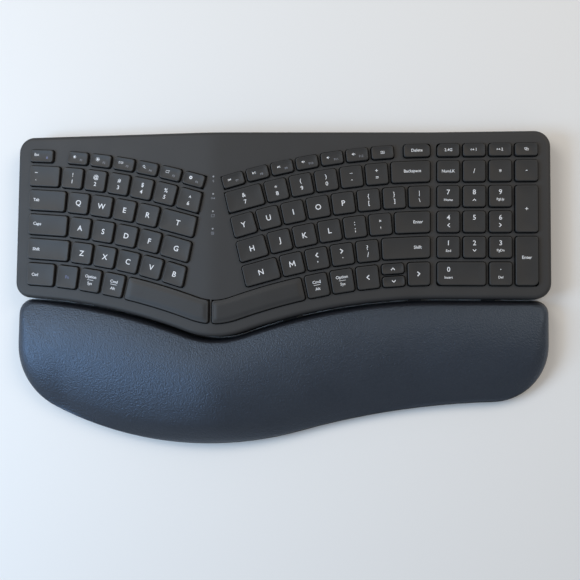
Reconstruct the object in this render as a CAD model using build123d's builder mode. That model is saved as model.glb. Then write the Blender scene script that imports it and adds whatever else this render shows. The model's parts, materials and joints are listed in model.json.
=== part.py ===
from build123d import *
from math import acos, asin, atan, cos, degrees, hypot, radians, sin, sqrt, tan
import os

# Split ergonomic keyboard with a padded wrist rest, in millimetres.
# x runs to the user's right, y away from the user, z up from the desk.
# The origin lies on the desk under the middle of the whole keyboard.

# Overall size
body_width = 409.0
overall_depth = 237.5
foot_height = 1.0

# Tent of the key deck: the height of the case skin over the desk
skin_left = 17.0
skin_crest = 28.0
skin_right = 18.5
crest_x = -47.5
crest_radius = 200.0
bend_radius = 600.0

# Key grid
key_pitch = 19.0
function_pitch = 12.7
bottom_pitch = 20.3
pad_columns = 4
side_gap = 2.1
row_gap = 2.6
left_margin = 9.4
right_margin = 8.7
back_margin = 8.3
front_margin = 8.2
block_gap = 2.8
left_row_radius = 550.0
right_row_radius = 535.0
left_arc_start = 21.6
right_arc_start = 6.5
left_inner_end = -48.2
right_inner_end = -45.7
left_inner_lean = 0.2
right_inner_lean = 0.244
escape_gap = 9.6
delete_gap = 5.1
arrow_split = 1.4
wide_keys = {
    "escape": 21.7,
    "backquote": 27.4,
    "tab": 32.7,
    "caps_lock": 34.5,
    "left_shift": 36.4,
    "left_ctrl": 24.9,
    "delete": 22.1,
    "backspace": 31.4,
    "backslash": 18.4,
    "enter": 28.6,
    "right_shift": 38.0,
    "arrow_right": 18.9,
}

# Key caps
cap_proud = 2.6
cap_skirt = 2.8
cap_draft = 3.0
cap_corner = 1.2
cap_wall = 1.1
cap_roof = 1.3
travel = 2.2
stem_side = 3.0
stem_clearance = 0.15

# Top case: skin, key wells and walls
corner_radius = 12.0
valley_radius = 62.0
edge_cut = 3.0
skin_thickness = 2.2
wall = 2.2
well_clearance = 0.45
well_web = 1.5
well_floor_gap = 0.4
well_floor = 1.8
parting_height = 8.0
bay_reach = 120.0
bay_depth = 40.0
lip_wall = 1.4
lip_depth = 2.8
lip_clearance = 0.15

# Bottom case
floor_thickness = 1.6
base_wall = 2.6
base_chamfer = 1.5
rib_thickness = 1.6
rib_steps = (-2.25, 27.75, 57.75, 85.75)
seat_gap = 0.1

# Stack under the wells
stem_reach = 0.4
dome_gap = 0.1
dome_height = 2.9
dome_width = 5.6
dome_draft = 22.0
dome_sheet_thickness = 0.5
membrane_thickness = 0.4
plate_thickness = 0.8
layer_gap = 0.05
layer_inset = 8.6

# Screws and their bosses
screw_inset = 4.9
back_screws = (54.5, 249.5, 384.5)
front_screws = (34.5, 264.5, 386.5)
boss_radius = 2.2
pilot_radius = 1.0
screw_radius = 0.95
screw_clear_radius = 1.3
screw_length = 8.0
screw_head_radius = 2.1
screw_head_height = 1.5
pad_radius = 3.5
pad_height = 4.6

# Electronics
board_size = (92.0, 26.0, 1.0)
board_lift = 0.4
board_x = -18.0
board_back_gap = 1.2
battery_size = (62.0, 44.0, 5.4)
battery_step = 51.75
port_x = -47.5
port_width = 9.0
port_height = 3.2
port_depth = 7.3
port_wall = 0.3
port_clearance = 0.15
tongue_thickness = 0.7
switch_x = -14.0
switch_travel = 2.5
switch_nub = (2.4, 1.8)
switch_sink = 0.3
switch_clearance = 0.25
switch_height = 5.6

# Status lights on the crest
light_x = -46.8
light_step = 13.35
light_pitch = 13.25
light_count = 4
light_radius = 0.7
light_clearance = 0.05
light_bar = (2.6, 1.4)
light_bar_margin = 1.3

# Wrist rest
rest_gap = 0.8
rest_back_corner = 10.0
rest_left_corner = 53.0
rest_right_corner = 43.0
belly_x = -57.0
belly_radius = 269.0
waist_x = 190.0
waist_radius = 600.0
tray_thickness = 1.8
tray_wall = 2.0
tray_height = 4.0
cushion_inset = 0.7
tuck = 1.6
cushion_end_height = 12.0
cushion_front_drop = 7.0
cushion_rise = 0.5
crown_sink = 0.8
crown_place = 0.4
front_roll = 0.15
back_roll = 0.07
cushion_edge_round = 12.0
leather_thickness = 3.0
foam_gap = 0.3
foam_lift = 0.1
hook_steps = (64.5, 124.5, 214.5, 309.5, 364.5)
hook_width = 10.0
hook_length = 3.6
hook_thickness = 1.6
hook_height = 4.0
hook_clearance = 0.2

# Fold-down legs under the wrist rest
leg_insets = ((84.5, 56.75), (92.5, 68.75))
leg_width = 34.0
leg_length = 17.0
leg_thickness = 3.6
leg_pin_radius = 1.2
leg_pin_length = 1.2
leg_clearance = 0.4
leg_back_clearance = 0.9
leg_fit = 0.06
leg_sink = 0.2
leg_well_wall = 1.6

# Rubber feet
foot_inset = 26.5
foot_back = 20.75
foot_front = 109.75
middle_foot_front = 124.75
rest_foot_inset = 28.0
rest_foot_front = 56.75
belly_foot_front = 20.75
waist_foot = (87.0, 40.75)
foot_size = (22.0, 9.0)
foot_cut = 2.0

# Values worked out from the sizes above
half_width = body_width / 2
back_y = overall_depth / 2
number_y = back_y - back_margin - function_pitch
row_lines = [number_y + function_pitch]
row_lines += [number_y - key_pitch * row for row in range(5)]
row_lines += [number_y - key_pitch * 4 - bottom_pitch]
left_end = -half_width + left_margin
pad_left = half_width - right_margin - key_pitch * pad_columns
right_end = pad_left - block_gap
left_centre = (left_end - left_arc_start, number_y - left_row_radius)
right_centre = (right_end + right_arc_start, number_y - right_row_radius)
bend_x = (right_end + pad_left) / 2
left_slope = atan((skin_crest - skin_left) / (crest_x + half_width))
right_slope = atan((skin_crest - skin_right) / (bend_x - crest_x))
well_depth = cap_skirt + travel + well_floor_gap
slab_depth = well_depth + well_floor
stem_depth = slab_depth + stem_reach
dome_top = stem_depth + dome_gap
sheet_top = dome_top + dome_height
sheet_bottom = sheet_top + dome_sheet_thickness
membrane_top = sheet_bottom + layer_gap
membrane_bottom = membrane_top + membrane_thickness
plate_top = membrane_bottom + layer_gap
plate_bottom = plate_top + plate_thickness
case_bottom = foot_height
floor_top = case_bottom + floor_thickness
tall = skin_crest + 2 * cap_proud
wide = 2 * body_width
tray_top = case_bottom + tray_height
front_y = -overall_depth / 2
rib_ys = [number_y - step for step in rib_steps]
battery_y = number_y - battery_step
light_y = number_y - light_step
screw_xs_back = [inset - half_width for inset in back_screws]
screw_xs_front = [inset - half_width for inset in front_screws]
hook_xs = [step - half_width for step in hook_steps]
leg_places = [
    (-half_width + leg_insets[0][0], front_y + leg_insets[0][1]),
    (half_width - leg_insets[1][0], front_y + leg_insets[1][1]),
]
foot_x = half_width - foot_inset
case_feet = [(side * foot_x, back_y - step) for step in (foot_back, foot_front) for side in (-1, 1)]
case_feet.append((crest_x, back_y - middle_foot_front))
rest_foot_x = half_width - rest_foot_inset
rest_feet = [(side * rest_foot_x, front_y + rest_foot_front) for side in (-1, 1)]
rest_feet.append((belly_x, front_y + belly_foot_front))
rest_feet.append((belly_x + waist_foot[0], front_y + waist_foot[1]))
belly_y = front_y + belly_radius


def small_round(radius):
    """A small round, drawn eight-sided, in the sketch that is open."""
    RegularPolygon(radius, 8)


def roof_corners(drop):
    """Where the left slope, the right slope and the level part meet, drop below the skin."""
    left_rise = skin_crest - drop / cos(left_slope)
    right_rise = skin_crest - drop / cos(right_slope)
    lean = tan(left_slope) + tan(right_slope)
    apex_x = crest_x + (right_rise - left_rise) / lean
    apex_z = left_rise + (apex_x - crest_x) * tan(left_slope)
    foot_z = skin_right - drop
    foot_x = crest_x + (right_rise - foot_z) / tan(right_slope)
    return (apex_x, apex_z), (foot_x, foot_z)


def roof_height(x, drop=0.0):
    """Height of the surface drop below the skin, leaving out its small bends."""
    (apex_x, apex_z), (foot_x, foot_z) = roof_corners(drop)
    if x < apex_x:
        return apex_z - (apex_x - x) * tan(left_slope)
    return max(foot_z, apex_z - (x - apex_x) * tan(right_slope))


def roof_face(drop):
    """Section of everything below the surface that lies drop under the skin."""
    bottom = -tall * 2
    apex, foot = roof_corners(drop)
    left_z = apex[1] - (apex[0] + wide) * tan(left_slope)
    with BuildSketch(Plane.XZ) as section:
        with BuildLine():
            Polyline((-wide, bottom), (-wide, left_z), apex, foot, (wide, foot[1]), (wide, bottom), close=True)
        make_face()
        bends = section.vertices().sort_by(Axis.X)
        crest = [v for v in bends if abs(v.X - apex[0]) < 0.01]
        bend = [v for v in bends if abs(v.X - foot[0]) < 0.01 and abs(v.Z - foot[1]) < 0.01]
        fillet(crest, crest_radius - drop)
        fillet(bend, bend_radius + drop)
    return section.sketch


def on_circle(centre, radius, x):
    """Point at x on the upper half of a circle."""
    return (x, centre[1] + sqrt(radius**2 - (x - centre[0]) ** 2))


def valley(inset):
    """The arc that joins the two front arcs, inset from the front edge of the body."""
    left_radius = left_row_radius - (number_y - row_lines[-1]) - front_margin + inset
    right_radius = right_row_radius - (number_y - row_lines[-1]) - front_margin + inset
    round_radius = valley_radius - inset
    left_reach = left_radius + round_radius
    right_reach = right_radius + round_radius
    dx = right_centre[0] - left_centre[0]
    dy = right_centre[1] - left_centre[1]
    span = hypot(dx, dy)
    along = (left_reach**2 - right_reach**2 + span**2) / (2 * span)
    up = sqrt(left_reach**2 - along**2)
    centre_x = left_centre[0] + (along * dx - up * dy) / span
    centre_y = left_centre[1] + (along * dy + up * dx) / span
    left_share = left_radius / left_reach
    right_share = right_radius / right_reach
    return {
        "left_radius": left_radius,
        "right_radius": right_radius,
        "radius": round_radius,
        "centre": (centre_x, centre_y),
        "left": (
            left_centre[0] + (centre_x - left_centre[0]) * left_share,
            left_centre[1] + (centre_y - left_centre[1]) * left_share,
        ),
        "right": (
            right_centre[0] + (centre_x - right_centre[0]) * right_share,
            right_centre[1] + (centre_y - right_centre[1]) * right_share,
        ),
    }


def valley_point(shape, x):
    """Point at x on the lower half of the valley arc."""
    centre_x, centre_y = shape["centre"]
    return (x, centre_y - sqrt(shape["radius"] ** 2 - (x - centre_x) ** 2))


def front_height(x, inset=0.0):
    """y of the front edge of the body at x."""
    shape = valley(inset)
    if x <= shape["left"][0]:
        return on_circle(left_centre, shape["left_radius"], x)[1]
    if x <= shape["right"][0]:
        return valley_point(shape, x)[1]
    if x <= right_centre[0]:
        return on_circle(right_centre, shape["right_radius"], x)[1]
    return right_centre[1] + shape["right_radius"]


def front_edge(inset, half):
    """Draw the front edge from the right side to the left side."""
    shape = valley(inset)
    flat_y = right_centre[1] + shape["right_radius"]
    start = (right_centre[0], flat_y)
    right_mid = (start[0] + shape["right"][0]) / 2
    left_point = on_circle(left_centre, shape["left_radius"], -half)
    left_mid = (shape["left"][0] - half) / 2
    Line((half, flat_y), start)
    ThreePointArc(start, on_circle(right_centre, shape["right_radius"], right_mid), shape["right"])
    lowest = valley_point(shape, (shape["left"][0] + shape["right"][0]) / 2)
    ThreePointArc(shape["right"], lowest, shape["left"])
    ThreePointArc(shape["left"], on_circle(left_centre, shape["left_radius"], left_mid), left_point)
    return left_point, (half, flat_y)


def body_outline(inset, rounded=True):
    """Plan of the keyboard body, inset from its outer wall."""
    half = half_width - inset
    back = back_y - inset
    with BuildSketch() as plan:
        with BuildLine():
            left_point, right_point = front_edge(inset, half)
            Polyline(left_point, (-half, back), (half, back), right_point)
        make_face()
        if rounded:
            corners = plan.vertices().filter_by(lambda v: abs(abs(v.X) - half) < 0.01)
            fillet(corners, max(corner_radius - inset, 1.0))
    return plan.sketch


# Places of the keys
left_rows = (
    ("escape", "gap", "f1", "f2", "f3", "f4", "f5", "f6"),
    ("backquote", "1", "2", "3", "4", "5", "6"),
    ("tab", "q", "w", "e", "r", "t"),
    ("caps_lock", "a", "s", "d", "f", "g"),
    ("left_shift", "z", "x", "c", "v", "b"),
    ("left_ctrl", "fn", "left_option", "left_command"),
)
right_rows = (
    ("delete", "gap", "screenshot", "f12", "f11", "f10", "f9", "f8", "f7"),
    ("backspace", "equals", "minus", "0", "9", "8", "7"),
    ("backslash", "right_bracket", "left_bracket", "p", "o", "i", "u", "y"),
    ("enter", "quote", "semicolon", "l", "k", "j", "h"),
    ("right_shift", "slash", "period", "comma", "m", "n"),
    ("arrow_right", "arrow_up", "arrow_left", "right_option", "right_command"),
)
pad_rows = (
    ("device_1", "device_2", "device_3", "device_4"),
    ("num_lock", "pad_divide", "pad_multiply", "pad_minus"),
    ("pad_7", "pad_8", "pad_9", "pad_plus"),
    ("pad_4", "pad_5", "pad_6", "pad_plus"),
    ("pad_1", "pad_2", "pad_3", "pad_enter"),
    ("pad_0", "pad_0", "pad_point", "pad_enter"),
)


def meet(point, direction, other, other_direction):
    """Where two lines cross in plan."""
    cross = direction[0] * other_direction[1] - direction[1] * other_direction[0]
    dx = other[0] - point[0]
    dy = other[1] - point[1]
    along = (dx * other_direction[1] - dy * other_direction[0]) / cross
    return (point[0] + direction[0] * along, point[1] + direction[1] * along)


def row_places(rows, side):
    """Cap outlines of one half: side is 1 on the left half and -1 on the right."""
    left = side > 0
    centre = left_centre if left else right_centre
    base = left_row_radius if left else right_row_radius
    outer_x = left_end if left else right_end
    inner_x = left_inner_end if left else right_inner_end
    lean = left_inner_lean if left else right_inner_lean
    gap_width = escape_gap if left else delete_gap
    places = {}
    ends = []
    for row, keys in enumerate(rows):
        top = base + row_lines[row] - number_y
        bottom = base + row_lines[row + 1] - number_y
        middle = (top + bottom) / 2
        angle = asin(side * (outer_x - centre[0]) / middle)
        for number, key in enumerate(keys):
            width = gap_width if key == "gap" else wide_keys.get(key, key_pitch)
            turn = angle + width / 2 / middle
            across = (side * cos(turn), -sin(turn))
            outward = (side * sin(turn), cos(turn))
            spot = (centre[0] + middle * outward[0], centre[1] + middle * outward[1])
            half_across = (width - side_gap) / 2
            outer = (spot[0] - across[0] * half_across, spot[1] - across[1] * half_across)
            inner = (spot[0] + across[0] * half_across, spot[1] + across[1] * half_across)
            outer_line = outward
            inner_line = outward
            if number == 0:
                outer = (outer_x + side * side_gap / 2, spot[1])
                outer_line = (0.0, 1.0)
            if number == len(keys) - 1 and 1 <= row <= 4:
                inner_line = (side * lean, 1.0)
                shift = side_gap / 2 * hypot(*inner_line)
                inner = (inner_x - side * shift, number_y)
            rises = [(row_gap - top + bottom) / 2, (top - bottom - row_gap) / 2]
            if key == "arrow_up":
                rises = [-arrow_split / 2 - rises[1], rises[0], rises[1], arrow_split / 2]
            corners = []
            for rise in rises:
                edge = (spot[0] + outward[0] * rise, spot[1] + outward[1] * rise)
                corners.append((meet(edge, across, outer, outer_line), meet(edge, across, inner, inner_line)))
            if key == "arrow_up":
                lower, upper, split_top = corners[1], corners[2], corners[3]
                edge = (spot[0] - outward[0] * arrow_split / 2, spot[1] - outward[1] * arrow_split / 2)
                split_bottom = (meet(edge, across, outer, outward), meet(edge, across, inner, outward))
                places["arrow_up"] = [upper[0], upper[1], split_top[1], split_top[0]]
                places["arrow_down"] = [split_bottom[0], split_bottom[1], lower[1], lower[0]]
            elif key != "gap":
                lower, upper = corners
                places[key] = [upper[0], upper[1], lower[1], lower[0]]
            angle += width / middle
        ends.append(angle)
    return places, ends[-1]


def pad_places():
    """Cap outlines of the number pad."""
    spans = {}
    for row, keys in enumerate(pad_rows):
        for column, key in enumerate(keys):
            low, high = spans.get(key, ((column, row), (column, row)))
            spans[key] = ((min(low[0], column), min(low[1], row)), (max(high[0], column), max(high[1], row)))
    places = {}
    for key, (low, high) in spans.items():
        x0 = pad_left + key_pitch * low[0] + side_gap / 2
        x1 = pad_left + key_pitch * (high[0] + 1) - side_gap / 2
        y1 = row_lines[low[1]] - row_gap / 2
        y0 = row_lines[high[1] + 1] + row_gap / 2
        places[key] = [(x0, y1), (x1, y1), (x1, y0), (x0, y0)]
    return places


left_caps, left_space_angle = row_places(left_rows, 1)
right_caps, right_space_angle = row_places(right_rows, -1)
pad_caps = pad_places()


def grown(corners, amount):
    """A straight-sided outline with every side moved out by amount."""
    count = len(corners)
    area = sum(
        corners[i][0] * corners[(i + 1) % count][1] - corners[(i + 1) % count][0] * corners[i][1]
        for i in range(count)
    )
    turn = 1 if area > 0 else -1
    sides = []
    for i in range(count):
        a, b = corners[i], corners[(i + 1) % count]
        length = hypot(b[0] - a[0], b[1] - a[1])
        direction = ((b[0] - a[0]) / length, (b[1] - a[1]) / length)
        away = (turn * direction[1], -turn * direction[0])
        sides.append(((a[0] + away[0] * amount, a[1] + away[1] * amount), direction))
    moved = [meet(*sides[i - 1], *sides[i]) for i in range(count)]
    return moved if turn > 0 else moved[::-1]


def cut_corners(corners, cut):
    """A straight-sided outline with every corner cut off at the same distance."""
    points = []
    for i, corner in enumerate(corners):
        for other in (corners[i - 1], corners[(i + 1) % len(corners)]):
            share = cut / hypot(other[0] - corner[0], other[1] - corner[1])
            points.append((corner[0] + (other[0] - corner[0]) * share, corner[1] + (other[1] - corner[1]) * share))
    return points


def middle_of(corners):
    """Middle of a cap outline."""
    count = len(corners)
    return (sum(c[0] for c in corners) / count, sum(c[1] for c in corners) / count)


# The three planes of the key deck, each with the x that its own origin stands at
left_plane = Plane(
    origin=(crest_x, 0, skin_crest),
    x_dir=(cos(left_slope), 0, sin(left_slope)),
    z_dir=(-sin(left_slope), 0, cos(left_slope)),
)
right_plane = Plane(
    origin=(crest_x, 0, skin_crest),
    x_dir=(cos(right_slope), 0, -sin(right_slope)),
    z_dir=(sin(right_slope), 0, cos(right_slope)),
)
pad_plane = Plane(origin=(crest_x, 0, skin_right), x_dir=(1, 0, 0), z_dir=(0, 0, 1))
zones = {
    "left": (left_plane, left_slope, left_caps),
    "right": (right_plane, right_slope, right_caps),
    "pad": (pad_plane, 0.0, pad_caps),
}


def on_slope(point, slope):
    """A plan point in the own coordinates of a sloping plane."""
    return ((point[0] - crest_x) / cos(slope), point[1])


def space_points(side, grow):
    """Corners and arc points of a space bar, every side moved out by grow."""
    left = side > 0
    centre = left_centre if left else right_centre
    name = "left" if left else "right"
    top = valley(front_margin + bottom_pitch - row_gap / 2 + grow)
    bottom = valley(front_margin + row_gap / 2 - grow)
    split_x = crest_x - side * (side_gap / 2 - grow)
    angle = left_space_angle if left else right_space_angle
    outward = (side * sin(angle), cos(angle))
    across = (side * cos(angle), -sin(angle))
    shift = side_gap / 2 - grow
    rings = []
    for shape in (top, bottom):
        radius = shape[name + "_radius"]
        reach = sqrt(radius**2 - shift**2)
        outer = (
            centre[0] + outward[0] * reach + across[0] * shift,
            centre[1] + outward[1] * reach + across[1] * shift,
        )
        join = shape[name]
        outer_mid = on_circle(centre, radius, (outer[0] + join[0]) / 2)
        end = valley_point(shape, split_x)
        end_mid = valley_point(shape, (join[0] + split_x) / 2)
        rings.append((outer, outer_mid, join, end_mid, end))
    return rings


def draw_space(side, grow, slope):
    """Draw the closed outline of a space bar on its plane."""
    top, bottom = [[on_slope(p, slope) for p in ring] for ring in space_points(side, grow)]
    ThreePointArc(top[0], top[1], top[2])
    ThreePointArc(top[2], top[3], top[4])
    Line(top[4], bottom[4])
    ThreePointArc(bottom[4], bottom[3], bottom[2])
    ThreePointArc(bottom[2], bottom[1], bottom[0])
    Line(bottom[0], top[0])


def draw_caps(zone, keys, grow, corner=0.0):
    """Outlines of some caps as faces of the sketch that is open, moved out by grow."""
    slope, places = zones[zone][1], zones[zone][2]
    for key in keys:
        outline = [on_slope(p, slope) for p in places[key]]
        if corner > 0:
            outline = cut_corners(outline, corner)
        Polygon(*grown(outline, grow), align=None)


def stem_places(zone, keys):
    """Middles of the caps in the plane's own coordinates."""
    slope, places = zones[zone][1], zones[zone][2]
    return [on_slope(middle_of(places[key]), slope) for key in keys]


def space_stems(side):
    """Middle of a space bar, then its two guide posts, in the plane's own coordinates."""
    slope = left_slope if side > 0 else right_slope
    top, bottom = space_points(side, 0.0)
    spots = []
    for a, b in ((top[1], bottom[1]), (top[3], bottom[3])):
        spots.append(on_slope(((a[0] + b[0]) / 2, (a[1] + b[1]) / 2), slope))
    return spots


# Top case: tented skin with a well and a stem guide for every key
with BuildPart() as shell_hollow:
    with BuildSketch(Plane.XY.offset(-tall)):
        add(body_outline(wall))
    extrude(amount=3 * tall)
    with BuildSketch(Plane.XZ):
        add(roof_face(slab_depth))
    extrude(amount=wide, both=True, mode=Mode.INTERSECT)

with BuildPart() as ring_hollow:
    with BuildSketch(Plane.XY.offset(-tall)) as ring:
        add(body_outline(wall))
        add(body_outline(wall + well_web + screw_inset - boss_radius + 1.2), mode=Mode.SUBTRACT)
        with BuildSketch(mode=Mode.PRIVATE) as behind:
            wedge_back = back_y - wall - 1.0
            with Locations((crest_x, wedge_back - bay_depth / 2)):
                Rectangle(2 * bay_reach, bay_depth)
            for centre, radius in ((left_centre, left_row_radius), (right_centre, right_row_radius)):
                with Locations(centre):
                    Circle(radius + function_pitch - row_gap / 2 + well_clearance + well_web, mode=Mode.SUBTRACT)
        add(behind.sketch)
        inner_web = well_web + well_clearance - side_gap / 2
        lines = []
        for y in (light_y + light_bar_margin + 0.7, row_lines[-2] - key_pitch / 2 + 3.0):
            drop = number_y - y
            left_x = left_inner_end - left_inner_lean * drop + inner_web
            right_x = right_inner_end + right_inner_lean * drop - inner_web
            lines.append(((left_x, y), (right_x, y)))
        with BuildSketch(mode=Mode.PRIVATE) as middle:
            Polygon(lines[0][0], lines[0][1], lines[1][1], lines[1][0], align=None)
        add(middle.sketch)
    extrude(amount=3 * tall)
    with BuildSketch(Plane.XZ):
        add(roof_face(skin_thickness))
    extrude(amount=wide, both=True, mode=Mode.INTERSECT)

screw_spots = [(x, back_y - screw_inset) for x in screw_xs_back]
screw_spots += [(x, front_height(x, screw_inset)) for x in screw_xs_front]

with BuildPart() as top_case:
    with BuildSketch(Plane.XY.offset(parting_height)):
        add(body_outline(0.0))
    extrude(amount=tall)
    with BuildSketch(Plane.XZ):
        add(roof_face(0.0))
    extrude(amount=wide, both=True, mode=Mode.INTERSECT)
    rim = top_case.edges().filter_by(lambda e: e.bounding_box().min.Z > parting_height + 4.0)
    rim = [e for e in rim if not (abs(e.tangent_at(0.5).Y) > 0.99 and abs(e.center().X) < half_width - 20)]
    chamfer(rim, edge_cut)
    add(shell_hollow.part, mode=Mode.SUBTRACT)
    add(ring_hollow.part, mode=Mode.SUBTRACT)
    with BuildSketch(Plane.XY.offset(parting_height)):
        add(body_outline(lip_wall))
    extrude(amount=lip_depth, mode=Mode.SUBTRACT)
    for spot in screw_spots:
        with BuildSketch(Plane.XY.offset(pad_height)):
            with Locations(spot):
                small_round(boss_radius)
        extrude(amount=roof_height(spot[0], skin_thickness / 2) - pad_height)
    for spot in screw_spots:
        with BuildSketch(Plane.XY.offset(pad_height)):
            with Locations(spot):
                small_round(pilot_radius)
        extrude(amount=screw_length, mode=Mode.SUBTRACT)
    for zone, (plane, slope, places) in zones.items():
        with BuildSketch(plane.offset(-well_depth)):
            draw_caps(zone, places, well_clearance)
            if zone != "pad":
                side = 1 if zone == "left" else -1
                with BuildSketch(mode=Mode.PRIVATE) as bar:
                    with BuildLine():
                        draw_space(side, well_clearance, slope)
                    make_face()
                add(bar.sketch)
        extrude(amount=well_depth + cap_proud, mode=Mode.SUBTRACT)
        with BuildSketch(plane.offset(-slab_depth - 1.0)):
            spots = stem_places(zone, places)
            if zone != "pad":
                spots += space_stems(1 if zone == "left" else -1)
            with Locations(*spots):
                Rectangle(stem_side + 2 * stem_clearance, stem_side + 2 * stem_clearance)
        extrude(amount=well_floor + 2.0, mode=Mode.SUBTRACT)
    with BuildSketch(Plane.XY.offset(roof_height(light_x, skin_thickness + 1.0))):
        with Locations(*[(light_x, light_y - light_pitch * i) for i in range(light_count)]):
            RegularPolygon(light_radius + light_clearance, 8)
    extrude(amount=tall, mode=Mode.SUBTRACT)
top_case.part.label = "top_case"

# Bottom case: tray with ribs under the key plate, screw pads, a port and a switch slot
with BuildPart() as ribs:
    for y in rib_ys:
        with BuildSketch(Plane.XZ.offset(-y)):
            add(roof_face(plate_bottom + seat_gap))
        extrude(amount=rib_thickness)
    with BuildSketch(Plane.XY.offset(floor_top - 0.2)):
        add(body_outline(base_wall - 0.2))
    extrude(amount=tall, mode=Mode.INTERSECT)
    with BuildSketch(Plane.XY) as bays:
        with Locations((board_x, back_y - base_wall - board_back_gap - board_size[1] / 2)):
            Rectangle(board_size[0] + 3.0, board_size[1] + 3.0)
        with Locations((crest_x, battery_y)):
            Rectangle(battery_size[0] + 3.0, battery_size[1] + 3.0)
    extrude(amount=tall, mode=Mode.SUBTRACT)

port_centre_z = floor_top + board_lift + board_size[2] + port_height / 2
board_back = back_y - base_wall - board_back_gap
hook_low = hook_height - hook_thickness / 2

with BuildPart() as bottom_case:
    with BuildSketch(Plane.XY.offset(case_bottom)):
        add(body_outline(0.0))
    extrude(amount=parting_height - case_bottom)
    chamfer(bottom_case.faces().sort_by(Axis.Z)[0].edges(), base_chamfer)
    with BuildSketch(Plane.XY.offset(parting_height)):
        add(body_outline(lip_wall + lip_clearance))
    extrude(amount=lip_depth - lip_clearance)
    with BuildSketch(Plane.XY.offset(floor_top)):
        add(body_outline(base_wall))
    extrude(amount=tall, mode=Mode.SUBTRACT)
    for spot in screw_spots:
        with BuildSketch(Plane.XY.offset(case_bottom + 0.2)):
            with Locations(spot):
                small_round(pad_radius)
        extrude(amount=pad_height - seat_gap - case_bottom - 0.2)
    for radius, height in (
        (screw_clear_radius, pad_height),
        (screw_head_radius + 0.2, screw_head_height + 0.3),
    ):
        with BuildSketch(Plane.XY.offset(case_bottom)):
            with Locations(*screw_spots):
                small_round(radius)
        extrude(amount=height, mode=Mode.SUBTRACT)
    add(ribs.part)
    with BuildSketch(Plane.XZ.offset(-back_y - 1.0)):
        with Locations((port_x, port_centre_z)):
            RectangleRounded(
                port_width + 2 * port_clearance,
                port_height + 2 * port_clearance,
                port_height / 2,
            )
        with Locations((switch_x + switch_travel / 2, switch_height)):
            Rectangle(
                switch_nub[0] + switch_travel + 2 * switch_clearance,
                switch_nub[1] + 2 * switch_clearance,
            )
    extrude(amount=base_wall + 2.0, mode=Mode.SUBTRACT)
    for x in hook_xs:
        edge = front_height(x)
        with BuildSketch(Plane.XY.offset(hook_low - hook_clearance)):
            with Locations((x, edge)):
                Rectangle(hook_width + 2 * hook_clearance, 4 * base_wall)
        extrude(amount=hook_thickness + 2 * hook_clearance, mode=Mode.SUBTRACT)
bottom_case.part.label = "bottom_case"


def layer(top, bottom, inset):
    """A sheet with plain corners that follows the tent between two depths under the skin."""
    with BuildPart() as sheet:
        with BuildSketch(Plane.XY.offset(-tall)):
            add(body_outline(inset, rounded=False))
        extrude(amount=3 * tall)
        with BuildSketch(Plane.XZ):
            add(roof_face(top))
            add(roof_face(bottom), mode=Mode.SUBTRACT)
        extrude(amount=wide, both=True, mode=Mode.INTERSECT)
    return sheet.part


# Silicone sheet with one dome under every key stem
dome_base = layer(sheet_top, sheet_bottom, layer_inset)
with BuildPart() as dome_sheet:
    add(dome_base)
    for zone, (plane, slope, places) in zones.items():
        with BuildSketch(plane.offset(-sheet_top - dome_sheet_thickness / 2)):
            spots = stem_places(zone, places)
            if zone != "pad":
                spots += space_stems(1 if zone == "left" else -1)
            with Locations(*spots):
                RegularPolygon(dome_width / 2, 4)
        extrude(amount=dome_height + dome_sheet_thickness / 2, taper=dome_draft)
dome_sheet.part.label = "dome_sheet"

# Printed membrane under the domes
membrane_film = layer(membrane_top, membrane_bottom, layer_inset)
with BuildPart() as membrane_sheet:
    add(membrane_film)
membrane_sheet.part.label = "membrane_sheet"

# Steel plate that stiffens the deck
bent_sheet = layer(plate_top, plate_bottom, layer_inset)
with BuildPart() as steel_plate:
    add(bent_sheet)
steel_plate.part.label = "steel_plate"

# Controller board with the fixed half of the power switch
with BuildPart() as controller_board:
    with BuildSketch(Plane.XY.offset(floor_top + board_lift)):
        with Locations((board_x, board_back - board_size[1] / 2)):
            Rectangle(board_size[0], board_size[1])
    extrude(amount=board_size[2])
    with BuildSketch(Plane.XY.offset(floor_top + board_lift + board_size[2])):
        with Locations((board_x + 18.0, board_back - board_size[1] / 2 - 3.0)):
            Rectangle(9.0, 9.0)
        with Locations((board_x - 2.0, board_back - board_size[1] / 2)):
            Rectangle(6.0, 4.0)
    extrude(amount=1.0)
    for x in (board_x - board_size[0] / 2 + 3.0, board_x + board_size[0] / 2 - 3.0):
        with BuildSketch(Plane.XY.offset(floor_top)):
            with Locations((x, board_back - board_size[1] / 2)):
                Rectangle(4.0, 8.0)
        extrude(amount=board_lift)
controller_board.part.label = "controller_board"

# Battery pack under the crest
with BuildPart() as battery_pack:
    with BuildSketch(Plane.XY.offset(floor_top)):
        with Locations((crest_x, battery_y)):
            RectangleRounded(battery_size[0], battery_size[1], 2.0)
    extrude(amount=battery_size[2])
battery_pack.part.label = "battery_pack"

# Charging socket in the back wall
port_front = back_y - port_depth - 0.2
with BuildPart() as charging_socket:
    with BuildSketch(Plane.XZ.offset(-port_front - port_depth)):
        with Locations((port_x, port_centre_z)):
            RectangleRounded(port_width, port_height, port_height / 2 - 0.01)
    extrude(amount=port_depth)
    with BuildSketch(Plane.XZ.offset(-port_front - port_depth)):
        with Locations((port_x, port_centre_z)):
            RectangleRounded(
                port_width - 2 * port_wall,
                port_height - 2 * port_wall,
                port_height / 2 - port_wall - 0.01,
            )
    extrude(amount=port_depth - 1.2, mode=Mode.SUBTRACT)
    with BuildSketch(Plane.XZ.offset(-port_front - port_depth + 1.0)):
        with Locations((port_x, port_centre_z)):
            Rectangle(port_width - 2.4, tongue_thickness)
    extrude(amount=port_depth - 1.5)
charging_socket.part.label = "charging_socket"

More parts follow.
